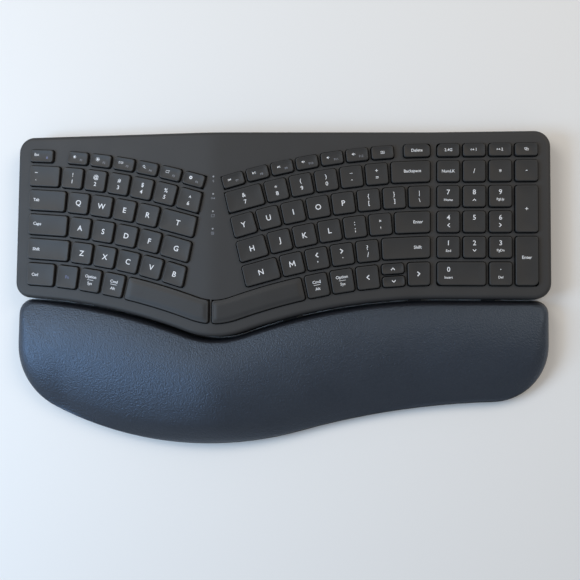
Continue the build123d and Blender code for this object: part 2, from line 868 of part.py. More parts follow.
# Power switch slider in its slot
with BuildPart() as power_switch:
    with BuildSketch(Plane.XZ.offset(-back_y + switch_sink)):
        with Locations((switch_x, switch_height)):
            Rectangle(switch_nub[0], switch_nub[1])
    extrude(amount=base_wall + 0.3 - switch_sink)
    with BuildSketch(Plane.XZ.offset(-back_y + base_wall + 0.3)):
        with Locations((switch_x, switch_height)):
            Rectangle(switch_nub[0] + 3.0, switch_nub[1] + 0.8)
    extrude(amount=1.2)
power_switch.part.label = "power_switch"

# Light guide: four pins on one bar under the crest
light_top = skin_crest - crest_radius * (1 / cos((left_slope + right_slope) / 2) - 1)
light_ys = [light_y - light_pitch * i for i in range(light_count)]
light_bar_top = roof_height(light_x, skin_thickness) - 0.9
with BuildPart() as light_guide:
    with BuildSketch(Plane.XY.offset(light_bar_top - light_bar[1])):
        with Locations((light_x, (light_ys[0] + light_ys[-1]) / 2)):
            Rectangle(light_bar[0], light_ys[0] - light_ys[-1] + 2 * light_bar_margin)
    extrude(amount=light_bar[1])
    with BuildSketch(Plane.XY.offset(light_bar_top)):
        with Locations(*[(light_x, y) for y in light_ys]):
            RegularPolygon(light_radius, 8)
    extrude(amount=light_top - light_bar_top - 0.1)
light_guide.part.label = "light_guide"

# Case screws, driven from below into the bosses
with BuildPart() as case_screws:
    for spot in screw_spots:
        with BuildSketch(Plane.XY.offset(case_bottom + 0.3)):
            with Locations(spot):
                small_round(screw_head_radius)
        extrude(amount=screw_head_height)
        with BuildSketch(Plane.XY.offset(case_bottom + 0.3 + screw_head_height)):
            with Locations(spot):
                small_round(screw_radius)
        extrude(amount=screw_length - 0.5)
case_screws.part.label = "case_screws"

# Rubber feet under the keyboard and the wrist rest
with BuildPart() as rubber_feet:
    with BuildSketch(Plane.XY) as foot_plan:
        with Locations(*case_feet, *rest_feet):
            Rectangle(foot_size[0], foot_size[1])
        chamfer(foot_plan.vertices(), foot_cut)
    extrude(amount=foot_height)
rubber_feet.part.label = "rubber_feet"


def belly_point(x):
    """Point at x on the swelling front edge of the wrist rest."""
    return (x, belly_y - sqrt(belly_radius**2 - (x - belly_x) ** 2))


waist_y = belly_y - sqrt((belly_radius + waist_radius) ** 2 - (waist_x - belly_x) ** 2)
join_share = belly_radius / (belly_radius + waist_radius)
join = (belly_x + (waist_x - belly_x) * join_share, belly_y + (waist_y - belly_y) * join_share)


def rest_outline(inset):
    """Plan of the wrist rest, inset from its outer wall."""
    half = half_width - inset
    with BuildSketch() as plan:
        with BuildLine():
            left_point, right_point = front_edge(-rest_gap - inset, half)
            belly_start = (-half, belly_y - sqrt((belly_radius - inset) ** 2 - (half + belly_x) ** 2))
            middle = (belly_x, belly_y - belly_radius + inset)
            shift = (belly_radius - inset) / belly_radius
            near = (belly_x + (join[0] - belly_x) * shift, belly_y + (join[1] - belly_y) * shift)
            far = on_circle((waist_x, waist_y), waist_radius + inset, (near[0] + half) / 2)
            waist_end = on_circle((waist_x, waist_y), waist_radius + inset, half)
            Line(left_point, belly_start)
            ThreePointArc(belly_start, middle, near)
            ThreePointArc(near, far, waist_end)
            Line(waist_end, right_point)
        make_face()
        for side, front, radius in (
            (-1, True, rest_left_corner),
            (1, True, rest_right_corner),
            (-1, False, rest_back_corner),
            (1, False, rest_back_corner),
        ):
            ends = plan.vertices().filter_by(lambda v: abs(v.X - side * half) < 0.01).sort_by(Axis.Y)
            fillet(ends[0] if front else ends[-1], radius - inset)
    return plan.sketch


def rest_span(x, inset):
    """Back and front y of the wrist rest at x."""
    cut = Edge.make_line((x, -overall_depth, 0), (x, overall_depth, 0))
    line = rest_outline(inset).face() & cut
    points = [v.Y for v in line.vertices()]
    return max(points), min(points)


# Wrist rest tray: dish with hooks into the body and a well for each leg
with BuildPart() as rest_tray:
    with BuildSketch(Plane.XY.offset(case_bottom)):
        add(rest_outline(0.0))
    extrude(amount=tray_height)
    with BuildSketch(Plane.XY.offset(case_bottom + tray_thickness)):
        add(rest_outline(tray_wall))
    extrude(amount=tall, mode=Mode.SUBTRACT)
    for x in hook_xs:
        edge = front_height(x)
        with BuildSketch(Plane.XY.offset(hook_low)):
            with Locations((x, edge + hook_length / 2 - rest_gap - tray_wall / 2)):
                Rectangle(hook_width, hook_length + tray_wall)
        extrude(amount=hook_thickness)
    pivot_z = case_bottom + leg_sink + leg_thickness / 2
    well_top = case_bottom + leg_sink + leg_thickness + leg_clearance
    for x, y in leg_places:
        front = y - leg_length / 2 - leg_clearance
        back = y + leg_length / 2 + leg_back_clearance
        with BuildSketch(Plane.XY.offset(case_bottom)):
            with Locations((x, (front + back) / 2)):
                Rectangle(
                    leg_width + 2 * (leg_clearance + leg_well_wall),
                    back - front + 2 * leg_well_wall,
                )
        extrude(amount=well_top + leg_well_wall - case_bottom)
    for x, y in leg_places:
        front = y - leg_length / 2 - leg_clearance
        back = y + leg_length / 2 + leg_back_clearance
        with BuildSketch(Plane.XY.offset(case_bottom - 1.0)):
            with Locations((x, (front + back) / 2)):
                Rectangle(leg_width + 2 * leg_clearance, back - front)
        extrude(amount=well_top - case_bottom + 1.0, mode=Mode.SUBTRACT)
        with BuildSketch(Plane.YZ.offset(x - leg_width / 2 - leg_pin_length - leg_clearance / 2)):
            with Locations((y + leg_length / 2 - leg_thickness / 2, pivot_z)):
                small_round((leg_pin_radius + leg_fit) / cos(radians(22.5)))
        extrude(amount=leg_width + 2 * leg_pin_length + leg_clearance, mode=Mode.SUBTRACT)
rest_tray.part.label = "rest_tray"


def leg(x, y):
    """Fold-down leg with a pin at each side, folded into its well."""
    pivot_y = y + leg_length / 2 - leg_thickness / 2
    with BuildPart() as plate:
        with BuildSketch(Plane.YZ.offset(x - leg_width / 2)):
            with Locations(((y + pivot_y - leg_length / 2) / 2, pivot_z)):
                Rectangle(pivot_y - y + leg_length / 2, leg_thickness)
            with Locations((pivot_y, pivot_z)):
                Circle(leg_thickness / 2)
        extrude(amount=leg_width)
        with BuildSketch(Plane.XY.offset(pivot_z - leg_thickness)):
            with Locations((x, y - 3.0)):
                Rectangle(leg_width - 12.0, leg_length - 9.0)
        extrude(amount=leg_thickness, mode=Mode.SUBTRACT)
        with BuildSketch(Plane.YZ.offset(x - leg_width / 2 - leg_pin_length)):
            with Locations((pivot_y, pivot_z)):
                small_round(leg_pin_radius)
        extrude(amount=leg_width + 2 * leg_pin_length)
    return plate


left_leg = leg(*leg_places[0])
left_leg.part.label = "left_leg"
right_leg = leg(*leg_places[1])
right_leg.part.label = "right_leg"

# Cushion of the wrist rest: sections across the rest, from its left end to its right end
cushion_half = half_width - cushion_inset
end_steps = (0.0, 0.15, 0.5, 1.3)
section_xs = [-cushion_half + cushion_edge_round * step for step in end_steps]
section_xs += [-150.0, -105.0]
section_xs += [crest_x + step for step in (-34.0, -17.0, 0.0, 17.0, 34.0)]
section_xs += [20.0, 70.0, 120.0, 165.0]
section_xs += [cushion_half - cushion_edge_round * step for step in reversed(end_steps)]


def crown_height(x):
    """Height of the cushion's crown at x, which follows the tent and rounds off at both ends."""
    full = min(roof_height(x), skin_crest - crown_sink) + cushion_rise
    reach = min(1.0, (cushion_half - abs(x)) / cushion_edge_round)
    return cushion_end_height + (full - cushion_end_height) * sqrt(max(0.0, 1 - (1 - reach) ** 2))


def cushion_section(x, shrink, base):
    """Points of the cushion's section at x: the bottom, the back side, the crown and the front side."""
    limit = half_width - cushion_inset - 0.05
    back, front = rest_span(max(-limit, min(limit, x)), cushion_inset)
    back -= shrink
    front += shrink
    top = crown_height(x) - shrink
    depth = back - front
    rise = top - base
    drop = cushion_front_drop * min(1.0, rise / 18.0)
    crown_y = back - depth * crown_place
    reach = crown_y - front - depth * front_roll
    crown_round = (reach**2 + drop**2) / (2 * drop)
    back_reach = depth * (crown_place - back_roll)
    back_drop = crown_round - sqrt(crown_round**2 - back_reach**2)
    return {
        "back_low": (back - tuck, base),
        "back_mid": (back, base + (rise - back_drop) * 0.55),
        "back_top": (crown_y + back_reach, top - back_drop),
        "crown": (crown_y, top),
        "front_top": (crown_y - reach, top - drop),
        "front_mid": (front, base + (rise - drop) * 0.4),
        "front_low": (front + tuck, base),
    }


def cushion_outline(x):
    """Points along the three arcs of the cushion's section at x, from its foot at the back."""
    p = cushion_section(x, 0.0, tray_top)
    points = [p["back_low"]]
    for start, middle, end, steps in (
        ("back_low", "back_mid", "back_top", 3),
        ("back_top", "crown", "front_top", 4),
        ("front_top", "front_mid", "front_low", 4),
    ):
        arc = ThreePointArc(p[start], p[middle], p[end])
        spots = [arc @ (step / steps) for step in range(1, steps + 1)]
        points += [(spot.X, spot.Y) for spot in spots]
    return points


foam_xs = (-cushion_half + 14.0, -150.0, -100.0, crest_x, 20.0, 90.0, 150.0, cushion_half - 14.0)


def foam_core(shrink):
    """Foam block inside the cover, cut from straight-sided sections."""
    with BuildPart() as core:
        for x in foam_xs:
            p = cushion_section(x, leather_thickness + shrink, tray_top - 0.5)
            with BuildSketch(Plane.YZ.offset(x)):
                Polygon(
                    p["front_low"], p["front_mid"], p["front_top"], p["crown"],
                    p["back_top"], p["back_mid"], p["back_low"], align=None,
                )
        loft(ruled=True)
    return core.part


cushion_outlines = {x: cushion_outline(x) for x in section_xs}
cover_hollow = foam_core(0.0)
with BuildPart() as rest_cover:
    for x, outline in cushion_outlines.items():
        with BuildSketch(Plane.YZ.offset(x)):
            Polygon(*outline, align=None)
    loft(ruled=True)
    add(cover_hollow, mode=Mode.SUBTRACT)
rest_cover.part.label = "rest_cover"

foam_block = foam_core(foam_gap)
with BuildPart() as rest_foam:
    add(foam_block)
    with BuildSketch(Plane.XY):
        Rectangle(wide, wide)
    extrude(amount=tray_top + foam_lift, mode=Mode.SUBTRACT)
    for x, y in leg_places:
        with BuildSketch(Plane.XY):
            with Locations((x, y)):
                Rectangle(leg_width + 8.0, leg_length + 8.0)
        extrude(amount=well_top + leg_well_wall + foam_gap, mode=Mode.SUBTRACT)
rest_foam.part.label = "rest_foam"

parts = [
    top_case, bottom_case, dome_sheet, membrane_sheet, steel_plate, controller_board,
    battery_pack, charging_socket, power_switch, light_guide, case_screws, rubber_feet,
    rest_tray, rest_cover, rest_foam, left_leg, right_leg,
]

# Key caps: which caps share one node
key_nodes = {
    "key_escape": ("left", ["escape"]),
    "key_backquote": ("left", ["backquote"]),
    "key_tab": ("left", ["tab"]),
    "key_caps_lock": ("left", ["caps_lock"]),
    "key_left_shift": ("left", ["left_shift"]),
    "key_left_ctrl": ("left", ["left_ctrl"]),
    "key_t": ("left", ["t"]),
    "key_g": ("left", ["g"]),
    "key_7": ("right", ["7"]),
    "key_h": ("right", ["h"]),
    "key_n": ("right", ["n"]),
    "key_delete": ("right", ["delete"]),
    "key_backspace": ("right", ["backspace"]),
    "key_enter": ("right", ["enter"]),
    "key_right_shift": ("right", ["right_shift"]),
    "key_arrow_left": ("right", ["arrow_left"]),
    "key_arrow_up": ("right", ["arrow_up"]),
    "key_arrow_down": ("right", ["arrow_down"]),
    "key_arrow_right": ("right", ["arrow_right"]),
    "key_pad_plus": ("pad", ["pad_plus"]),
    "key_pad_enter": ("pad", ["pad_enter"]),
    "key_pad_zero": ("pad", ["pad_0"]),
    "key_pad_point": ("pad", ["pad_point"]),
    "keys_function_left": ("left", ["f1", "f2", "f3", "f4", "f5", "f6"]),
    "keys_function_right": ("right", ["f7", "f8", "f9", "f10", "f11", "f12", "screenshot"]),
    "keys_device": ("pad", ["device_1", "device_2", "device_3", "device_4"]),
    "keys_number_left": ("left", ["1", "2", "3", "4", "5", "6"]),
    "keys_number_right": ("right", ["8", "9", "0", "minus", "equals"]),
    "keys_upper_left": ("left", ["q", "w", "e", "r"]),
    "keys_upper_right": ("right", ["y", "u", "i", "o", "p", "left_bracket", "right_bracket", "backslash"]),
    "keys_home_left": ("left", ["a", "s", "d", "f"]),
    "keys_home_right": ("right", ["j", "k", "l", "semicolon", "quote"]),
    "keys_lower_left": ("left", ["z", "x", "c", "v", "b"]),
    "keys_lower_right": ("right", ["m", "comma", "period", "slash"]),
    "keys_left_modifier": ("left", ["fn", "left_option", "left_command"]),
    "keys_right_modifier": ("right", ["right_option", "right_command"]),
    "keys_pad_top": ("pad", ["num_lock", "pad_divide", "pad_multiply", "pad_minus"]),
    "keys_pad_upper": ("pad", ["pad_7", "pad_8", "pad_9"]),
    "keys_pad_middle": ("pad", ["pad_4", "pad_5", "pad_6"]),
    "keys_pad_lower": ("pad", ["pad_1", "pad_2", "pad_3"]),
}
draft_inset = (cap_skirt + cap_proud) * tan(radians(cap_draft))


def cap_node(zone, keys):
    """Hollow caps with drafted sides and a stem each."""
    plane = zones[zone][0]
    with BuildPart() as caps:
        with BuildSketch(plane.offset(-cap_skirt)):
            draw_caps(zone, keys, 0.0, cap_corner)
        extrude(amount=cap_skirt + cap_proud, taper=cap_draft)
        with BuildSketch(plane.offset(-cap_skirt)):
            draw_caps(zone, keys, -cap_wall - draft_inset)
        extrude(amount=cap_skirt + cap_proud - cap_roof, mode=Mode.SUBTRACT)
        with BuildSketch(plane.offset(-stem_depth)):
            with Locations(*stem_places(zone, keys)):
                Rectangle(stem_side, stem_side)
        extrude(amount=stem_depth + cap_proud - cap_roof)
    return caps


def space_node(side):
    """Hollow space bar on two stems."""
    plane, slope = (left_plane, left_slope) if side > 0 else (right_plane, right_slope)
    with BuildPart() as bar:
        for level, grow in ((-cap_skirt, 0.0), (cap_proud, -draft_inset)):
            with BuildSketch(plane.offset(level)):
                with BuildLine():
                    draw_space(side, grow, slope)
                make_face()
        loft(ruled=True)
        with BuildSketch(plane.offset(-cap_skirt)):
            with BuildLine():
                draw_space(side, -cap_wall - draft_inset, slope)
            make_face()
        extrude(amount=cap_skirt + cap_proud - cap_roof, mode=Mode.SUBTRACT)
        with BuildSketch(plane.offset(-stem_depth)):
            with Locations(*space_stems(side)):
                Rectangle(stem_side, stem_side)
        extrude(amount=stem_depth + cap_proud - cap_roof)
    return bar


for name, (zone, keys) in key_nodes.items():
    node = cap_node(zone, keys)
    node.part.label = name
    parts.append(node)
for name, side in (("key_left_space", 1), ("key_right_space", -1)):
    node = space_node(side)
    node.part.label = name
    parts.append(node)

os.makedirs("parts", exist_ok=True)
for piece in parts:
    export_step(piece.part, f"parts/{piece.part.label}.step")
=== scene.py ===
import json
import math

import bmesh
import bpy
from mathutils import Matrix, Vector
from mathutils.bvhtree import BVHTree


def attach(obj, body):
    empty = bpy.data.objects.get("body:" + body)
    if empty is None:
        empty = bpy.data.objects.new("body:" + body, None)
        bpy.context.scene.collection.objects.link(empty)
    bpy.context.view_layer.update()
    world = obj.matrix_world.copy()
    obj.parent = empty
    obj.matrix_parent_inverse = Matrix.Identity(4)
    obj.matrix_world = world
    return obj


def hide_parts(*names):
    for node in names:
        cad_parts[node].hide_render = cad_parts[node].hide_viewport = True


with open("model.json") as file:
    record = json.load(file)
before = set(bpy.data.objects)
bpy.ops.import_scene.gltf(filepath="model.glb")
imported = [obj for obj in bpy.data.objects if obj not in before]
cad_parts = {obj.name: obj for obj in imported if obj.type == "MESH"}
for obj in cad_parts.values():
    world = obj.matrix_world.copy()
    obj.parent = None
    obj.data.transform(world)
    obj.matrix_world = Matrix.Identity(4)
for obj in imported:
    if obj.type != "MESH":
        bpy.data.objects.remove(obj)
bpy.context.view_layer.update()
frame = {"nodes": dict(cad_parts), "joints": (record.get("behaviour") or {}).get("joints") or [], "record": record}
MM = 0.001

# Camera, in millimetres and radians: fitted to the key edges at a chosen distance
CAMERA_AT = (71.8, -36.4, 651.6)
CAMERA_TILT = (0.056, 0.095, 0.004)
CAMERA_FOCAL_PX = 843.6
IMAGE_PX = 580
SENSOR_WIDTH = 36.0

# Key caps, in millimetres
CAP_SKIRT = 5.0
CAP_ROUND = 1.9
CAP_EDGE = 0.55
CAP_FLARE = 0.2
CAP_DISH = 0.5
CAP_CORNER_CUT = 2.2
BAR_FALL = 0.55
BAR_SHOULDER = 3.6
BAR_PIECES = 14
WIDE_ROUND = 3.6
LEGEND_LIFT = 0.03
LETTER_SCALE = 1.37

# Case rim, in millimetres
RIM_STEPS = 7
RIM_OVERLAP = 1.2
RIM_LIFT = 0.012
WELL_ROUND = 2.5
WELL_DEPTH = 2.2
CREST_EASE = 9.0
BEND_X = 118.5
SKIN_LOWEST = 17.0

# Ways that a face of the case may look: the upward part of its direction
SKIN_UP = 0.97
CHAMFER_UP = (0.5, 0.82)
WALL_UP = 0.3

# Wrist rest cover, in millimetres
COVER_INSET = 0.7
COVER_FOOT = 5.0
COVER_SHOULDER = 8.0
COVER_TUCK = 1.5
COVER_ROLL_BACK = 4.0
COVER_ROLL_FRONT = 17.0
COVER_CROWN_PLACE = 0.4
COVER_DROP = 7.0
COVER_DROP_REACH = 0.45
COVER_ENDS = (38.0, 34.0)
COVER_STEP = 4.0
TRAY_CUT = 2.2
SOFTENING = range(-4, 5)
FOAM_SHARE = 0.985
FOAM_FOOT = 4.5
FOAM_RISE = 0.9
CLOTH_PRESSURE = 1.0
CLOTH_FRAMES = 20
CLOTH_REACH = 5.0
CREST_X = -47.5
CREST_TOP = 27.7
LEFT_SLOPE = 0.07007
RIGHT_SLOPE = 0.05726
RIGHT_TOP = 19.0


class Wire:
    """A shader value that Python's own operators work on."""

    def __init__(self, shader, socket):
        self.shader = shader
        self.socket = socket

    def math(self, operation, other, swap=False):
        inputs = (other, self) if swap else (self, other)
        return self.shader.node("ShaderNodeMath", {"operation": operation}, {0: inputs[0], 1: inputs[1]})

    def __add__(self, other):
        return self.math("ADD", other)

    __radd__ = __add__

    def __sub__(self, other):
        return self.math("SUBTRACT", other)

    def __rsub__(self, other):
        return self.math("SUBTRACT", other, swap=True)

    def __mul__(self, other):
        return self.math("MULTIPLY", other)

    __rmul__ = __mul__


class Shader:
    """One material and its nodes."""

    def __init__(self, name, color, roughness, **settings):
        self.material = bpy.data.materials.new(name)
        self.material.use_nodes = True
        self.tree = self.material.node_tree
        self.surface = self.tree.nodes["Principled BSDF"]
        self.surface.inputs["Base Color"].default_value = (*color, 1.0)
        self.surface.inputs["Roughness"].default_value = roughness
        for socket, value in settings.items():
            self.surface.inputs[socket.replace("_", " ")].default_value = value

    def node(self, kind, settings=None, values=None, output=0):
        node = self.tree.nodes.new(kind)
        for key, value in (settings or {}).items():
            setattr(node, key, value)
        for key, value in (values or {}).items():
            self.feed(node.inputs[key], value)
        return Wire(self, node.outputs[output])

    def feed(self, socket, value):
        if isinstance(value, Wire):
            self.tree.links.new(value.socket, socket)
        else:
            socket.default_value = value

    def place(self):
        return self.node("ShaderNodeTexCoord", output="Object")

    def noise(self, scale, detail=2.0, roughness=0.5, place=None):
        values = {"Vector": place or self.place(), "Scale": scale, "Detail": detail, "Roughness": roughness}
        return self.node("ShaderNodeTexNoise", {}, values, output="Fac")

    def cells(self, scale, place=None):
        values = {"Vector": place or self.place(), "Scale": scale}
        return self.node("ShaderNodeTexVoronoi", {}, values, output="Distance")

    def blend(self, factor, first, second):
        values = {"Factor": factor, "A": (*first, 1.0), "B": (*second, 1.0)}
        node = self.tree.nodes.new("ShaderNodeMix")
        node.data_type = "RGBA"
        sockets = {"Factor": node.inputs[0], "A": node.inputs[6], "B": node.inputs[7]}
        for key, value in values.items():
            self.feed(sockets[key], value)
        return Wire(self, node.outputs[2])

    def color(self, wire):
        self.feed(self.surface.inputs["Base Color"], wire)

    def roughness(self, wire):
        self.feed(self.surface.inputs["Roughness"], wire)

    def bump(self, height, strength, distance):
        values = {"Height": height, "Strength": strength, "Distance": distance}
        self.feed(self.surface.inputs["Normal"], self.node("ShaderNodeBump", {}, values))


def moulded_plastic(name, dark, pale, rough, grain, strength):
    """Matt moulded plastic with fine spark texture and faint handling marks."""
    shader = Shader(name, dark, rough)
    marks = shader.noise(55.0, 3.0)
    shader.color(shader.blend(marks, dark, pale))
    shader.roughness(rough - 0.06 + marks * 0.14)
    shader.bump(shader.noise(grain, 2.0), strength, 0.00004)
    return shader.material


def leatherette():
    """Fine-grained leatherette: pebbles parted by small creases; a blue specular tint paints in a reflection of
    cool daylight.
    """
    # Painted reflection: the blue specular tint stands in for cool daylight reflected in the leatherette, which is
    # itself neutral black.
    painted_blue_reflection = {"Specular_IOR_Level": 1.0, "Specular_Tint": (0.56, 0.74, 1.0, 1.0)}
    shader = Shader("black_leatherette", (0.018, 0.019, 0.023), 0.42, **painted_blue_reflection)
    place = shader.place()
    pebbles = shader.cells(900.0, place)
    folds = shader.noise(40.0, 4.0, 0.6, place)
    specks = shader.noise(700.0, 2.0, 0.7, place)
    shader.color(shader.blend(specks * 0.7 + folds * 0.3, (0.004, 0.004, 0.006), (0.026, 0.026, 0.029)))
    shader.roughness(0.27 + folds * 0.12 + specks * 0.22)
    shader.bump(pebbles + folds * 0.6 + specks * 2.0, 0.8, 0.0002)
    return shader.material


def metal(name, color, rough):
    """Sheet metal with a faint grain."""
    shader = Shader(name, color, rough, Metallic=1.0)
    grain = shader.noise(600.0, 2.0)
    shader.roughness(rough - 0.05 + grain * 0.12)
    return shader.material


def print_ink(name, color):
    """Slightly uneven pad-printed ink."""
    shader = Shader(name, color, 0.5)
    fade = shader.noise(1500.0, 1.0)
    shader.color(shader.blend(fade, tuple(c * 0.86 for c in color), color))
    return shader.material


CASE = moulded_plastic(
    "charcoal_case_plastic", (0.022, 0.022, 0.0225), (0.029, 0.029, 0.0295), 0.58, 2600.0, 0.35)
CAPS = moulded_plastic(
    "charcoal_cap_plastic", (0.016, 0.016, 0.0162), (0.022, 0.022, 0.0222), 0.52, 3400.0, 0.25)
LEATHER = leatherette()
WHITE_INK = print_ink("white_legend_ink", (0.80, 0.81, 0.83))
GREY_INK = print_ink("grey_legend_ink", (0.22, 0.23, 0.26))
BLUE_INK = print_ink("dim_blue_legend_ink", (0.12, 0.14, 0.26))
RUBBER = moulded_plastic("foot_rubber", (0.02, 0.02, 0.02), (0.03, 0.03, 0.03), 0.8, 1800.0, 0.5)
SLOT_MATERIALS = {
    "case_plastic": CASE,
    "key_plastic": CAPS,
    "switch_plastic": moulded_plastic(
        "switch_plastic", (0.05, 0.05, 0.053), (0.07, 0.07, 0.073), 0.5, 2600.0, 0.3),
    "dome_silicone": moulded_plastic(
        "dome_silicone", (0.60, 0.61, 0.61), (0.70, 0.71, 0.71), 0.55, 900.0, 0.2),
    "membrane_film": moulded_plastic(
        "membrane_film", (0.62, 0.66, 0.62), (0.70, 0.73, 0.70), 0.3, 300.0, 0.1),
    "plate_steel": metal("plate_steel", (0.55, 0.56, 0.57), 0.35),
    "board_laminate": moulded_plastic(
        "board_laminate", (0.02, 0.12, 0.05), (0.03, 0.16, 0.07), 0.4, 1200.0, 0.2),
    "battery_wrap": moulded_plastic("battery_wrap", (0.10, 0.11, 0.13), (0.14, 0.15, 0.17), 0.35, 500.0, 0.2),
    "socket_steel": metal("socket_steel", (0.62, 0.62, 0.63), 0.28),
    "light_plastic": moulded_plastic(
        "light_guide_plastic", (0.30, 0.31, 0.33), (0.36, 0.37, 0.39), 0.3, 800.0, 0.1),
    "screw_steel": metal("blackened_screw_steel", (0.10, 0.10, 0.11), 0.4),
    "foot_rubber": RUBBER,
    "cover_leather": LEATHER,
    "rest_foam": moulded_plastic("rest_foam", (0.10, 0.10, 0.105), (0.16, 0.16, 0.165), 0.9, 700.0, 1.0),
}

record = frame["record"]
slot_of = {piece["node"]: piece["material_slot"] for piece in record["subparts"]}
node_bodies = {node: body for body, nodes in record["behaviour"]["bodies"].items() for node in nodes}
for node, obj in frame["nodes"].items():
    for slot in obj.material_slots:
        slot.material = SLOT_MATERIALS[slot_of[node]]


def new_object(name, mesh, material):
    obj = bpy.data.objects.new(name, mesh)
    bpy.context.scene.collection.objects.link(obj)
    mesh.materials.append(material)
    return obj


def smooth(mesh, angle=40.0):
    mesh.shade_smooth()
    mesh.set_sharp_from_angle(angle=math.radians(angle))


def finished_mesh(form, name):
    """A mesh of the form, which is used up."""
    mesh = bpy.data.meshes.new(name)
    form.to_mesh(mesh)
    form.free()
    return mesh


def bridge(form, rows):
    """Quads between closed rows of corners, each row with the next."""
    for lower, upper in zip(rows, rows[1:]):
        for i in range(len(lower)):
            j = (i + 1) % len(lower)
            form.faces.new((lower[i], lower[j], upper[j], upper[i]))


def joined_to(edges):
    """The corners that each corner of some edges is joined to by them."""
    links = {}
    for edge in edges:
        a, b = edge.verts
        links.setdefault(a, []).append(b)
        links.setdefault(b, []).append(a)
    return links


def merged_form(node):
    """An editable copy of a CAD node's mesh with its corners joined up."""
    form = bmesh.new()
    form.from_mesh(frame["nodes"][node].data)
    bmesh.ops.remove_doubles(form, verts=form.verts, dist=1e-6)
    return form


def solid_islands(node):
    """The separate solids of a CAD node, each as a list of its corner points."""
    form = merged_form(node)
    seen, islands = set(), []
    for start in form.verts:
        if start in seen:
            continue
        group, queue = [], [start]
        seen.add(start)
        while queue:
            vert = queue.pop()
            group.append(vert.co.copy())
            for edge in vert.link_edges:
                other = edge.other_vert(vert)
                if other not in seen:
                    seen.add(other)
                    queue.append(other)
        islands.append(group)
    form.free()
    return sorted(islands, key=lambda group: sum(p.x for p in group) / len(group))


def line_cross(a, b, c, d):
    """Where the line through a and b meets the line through c and d, in the plane."""
    r, s = b - a, d - c
    return a + r * ((c - a).cross(s) / r.cross(s))


def true_corners(outline, cut):
    """The outline with each short cut across a corner replaced by the corner itself."""
    count = len(outline)
    lengths = [(outline[(i + 1) % count] - outline[i]).length for i in range(count)]
    points = []
    for i in range(count):
        if lengths[i] < cut and count == 8:
            after, beyond = outline[(i + 1) % count], outline[(i + 2) % count]
            points.append(line_cross(outline[i - 1], outline[i], beyond, after))
        elif not (lengths[i - 1] < cut and count == 8):
            points.append(outline[i])
    return points


def moved_out(outline, amount):
    """Every point of a counter-clockwise outline moved out by amount."""
    points = []
    count = len(outline)
    for i, point in enumerate(outline):
        before = (point - outline[i - 1]).normalized()
        after = (outline[(i + 1) % count] - point).normalized()
        normal = Vector((before.y + after.y, -before.x - after.x)).normalized()
        grow = 1.0 / max(0.5, normal.dot(Vector((before.y, -before.x))))
        points.append(point + normal * amount * grow)
    return points


class Deck:
    """The plane that a key travels square to, in millimetres."""

    def __init__(self, up):
        self.up = Vector(up).normalized()
        self.across = Vector((self.up.z, 0.0, -self.up.x))
        self.away = Vector((0.0, 1.0, 0.0))

    def flat(self, point):
        return Vector((point.dot(self.across), point.dot(self.away))) / MM

    def height(self, point):
        return point.dot(self.up) / MM

    def solid(self, point, height):
        return (self.across * point.x + self.away * point.y + self.up * height) * MM


def sharp_corners(outline):
    """Places in the outline where it turns sharply."""
    count = len(outline)
    turns = [(outline[i] - outline[i - 1]).angle(outline[(i + 1) % count] - outline[i]) for i in range(count)]
    return [i for i in range(count) if turns[i] > math.radians(30.0)]


def along(chain, share):
    """Point at a share of the length of an open chain; past its ends the chain goes on straight."""
    lengths = [(b - a).length for a, b in zip(chain, chain[1:])]
    want = share * sum(lengths)
    k = 0
    while k < len(lengths) - 1 and want > lengths[k]:
        want -= lengths[k]
        k += 1
    return chain[k] + (chain[k + 1] - chain[k]) * (want / lengths[k])


class CapPatch:
    """A flat rectangle stretched on to a cap outline that has four corners and may have curved sides."""

    def __init__(self, corners):
        sharp = sharp_corners(corners)
        first = sharp.index(min(sharp, key=lambda i: corners[i].x + corners[i].y))
        sharp = sharp[first:] + sharp[:first]
        sides = []
        for start, end in zip(sharp, sharp[1:] + sharp[:1]):
            steps = (end - start) % len(corners)
            sides.append([corners[(start + k) % len(corners)] for k in range(steps + 1)])
        self.front, self.right, self.back, self.left = sides
        self.back = self.back[::-1]
        self.pieces = BAR_PIECES if len(self.front) > 2 or len(self.back) > 2 else 1

        def length(chain):
            return sum((b - a).length for a, b in zip(chain, chain[1:]))

        self.length = (length(self.front) + length(self.back)) / 2
        self.width = (length(self.right) + length(self.left)) / 2

    def at(self, x, y):
        share = x / self.length
        return along(self.front, share).lerp(along(self.back, share), y / self.width)

    def ring(self, inset, radii, steps=6):
        """Points of a rounded rectangle that lies inset inside the outline."""
        length, width = self.length - 2 * inset, self.width - 2 * inset
        limit = min(length, width) * 0.46
        places = ((0.0, 0.0, 180.0), (length, 0.0, 270.0), (length, width, 0.0), (0.0, width, 90.0))
        points = []
        for (x, y, start), radius in zip(places, radii):
            radius = min(radius, limit)
            cx = x + (radius if x == 0.0 else -radius)
            cy = y + (radius if y == 0.0 else -radius)
            arc = []
            for k in range(steps + 1):
                angle = math.radians(start + 90.0 * k / steps)
                arc.append((cx + radius * math.cos(angle), cy + radius * math.sin(angle)))
            if points and start in (270.0, 90.0):
                (ax, ay), (bx, by) = points[-1], arc[0]
                for k in range(1, self.pieces):
                    points.append((ax + (bx - ax) * k / self.pieces, ay + (by - ay) * k / self.pieces))
            points += arc
        return [self.at(inset + x, inset + y) for x, y in points]


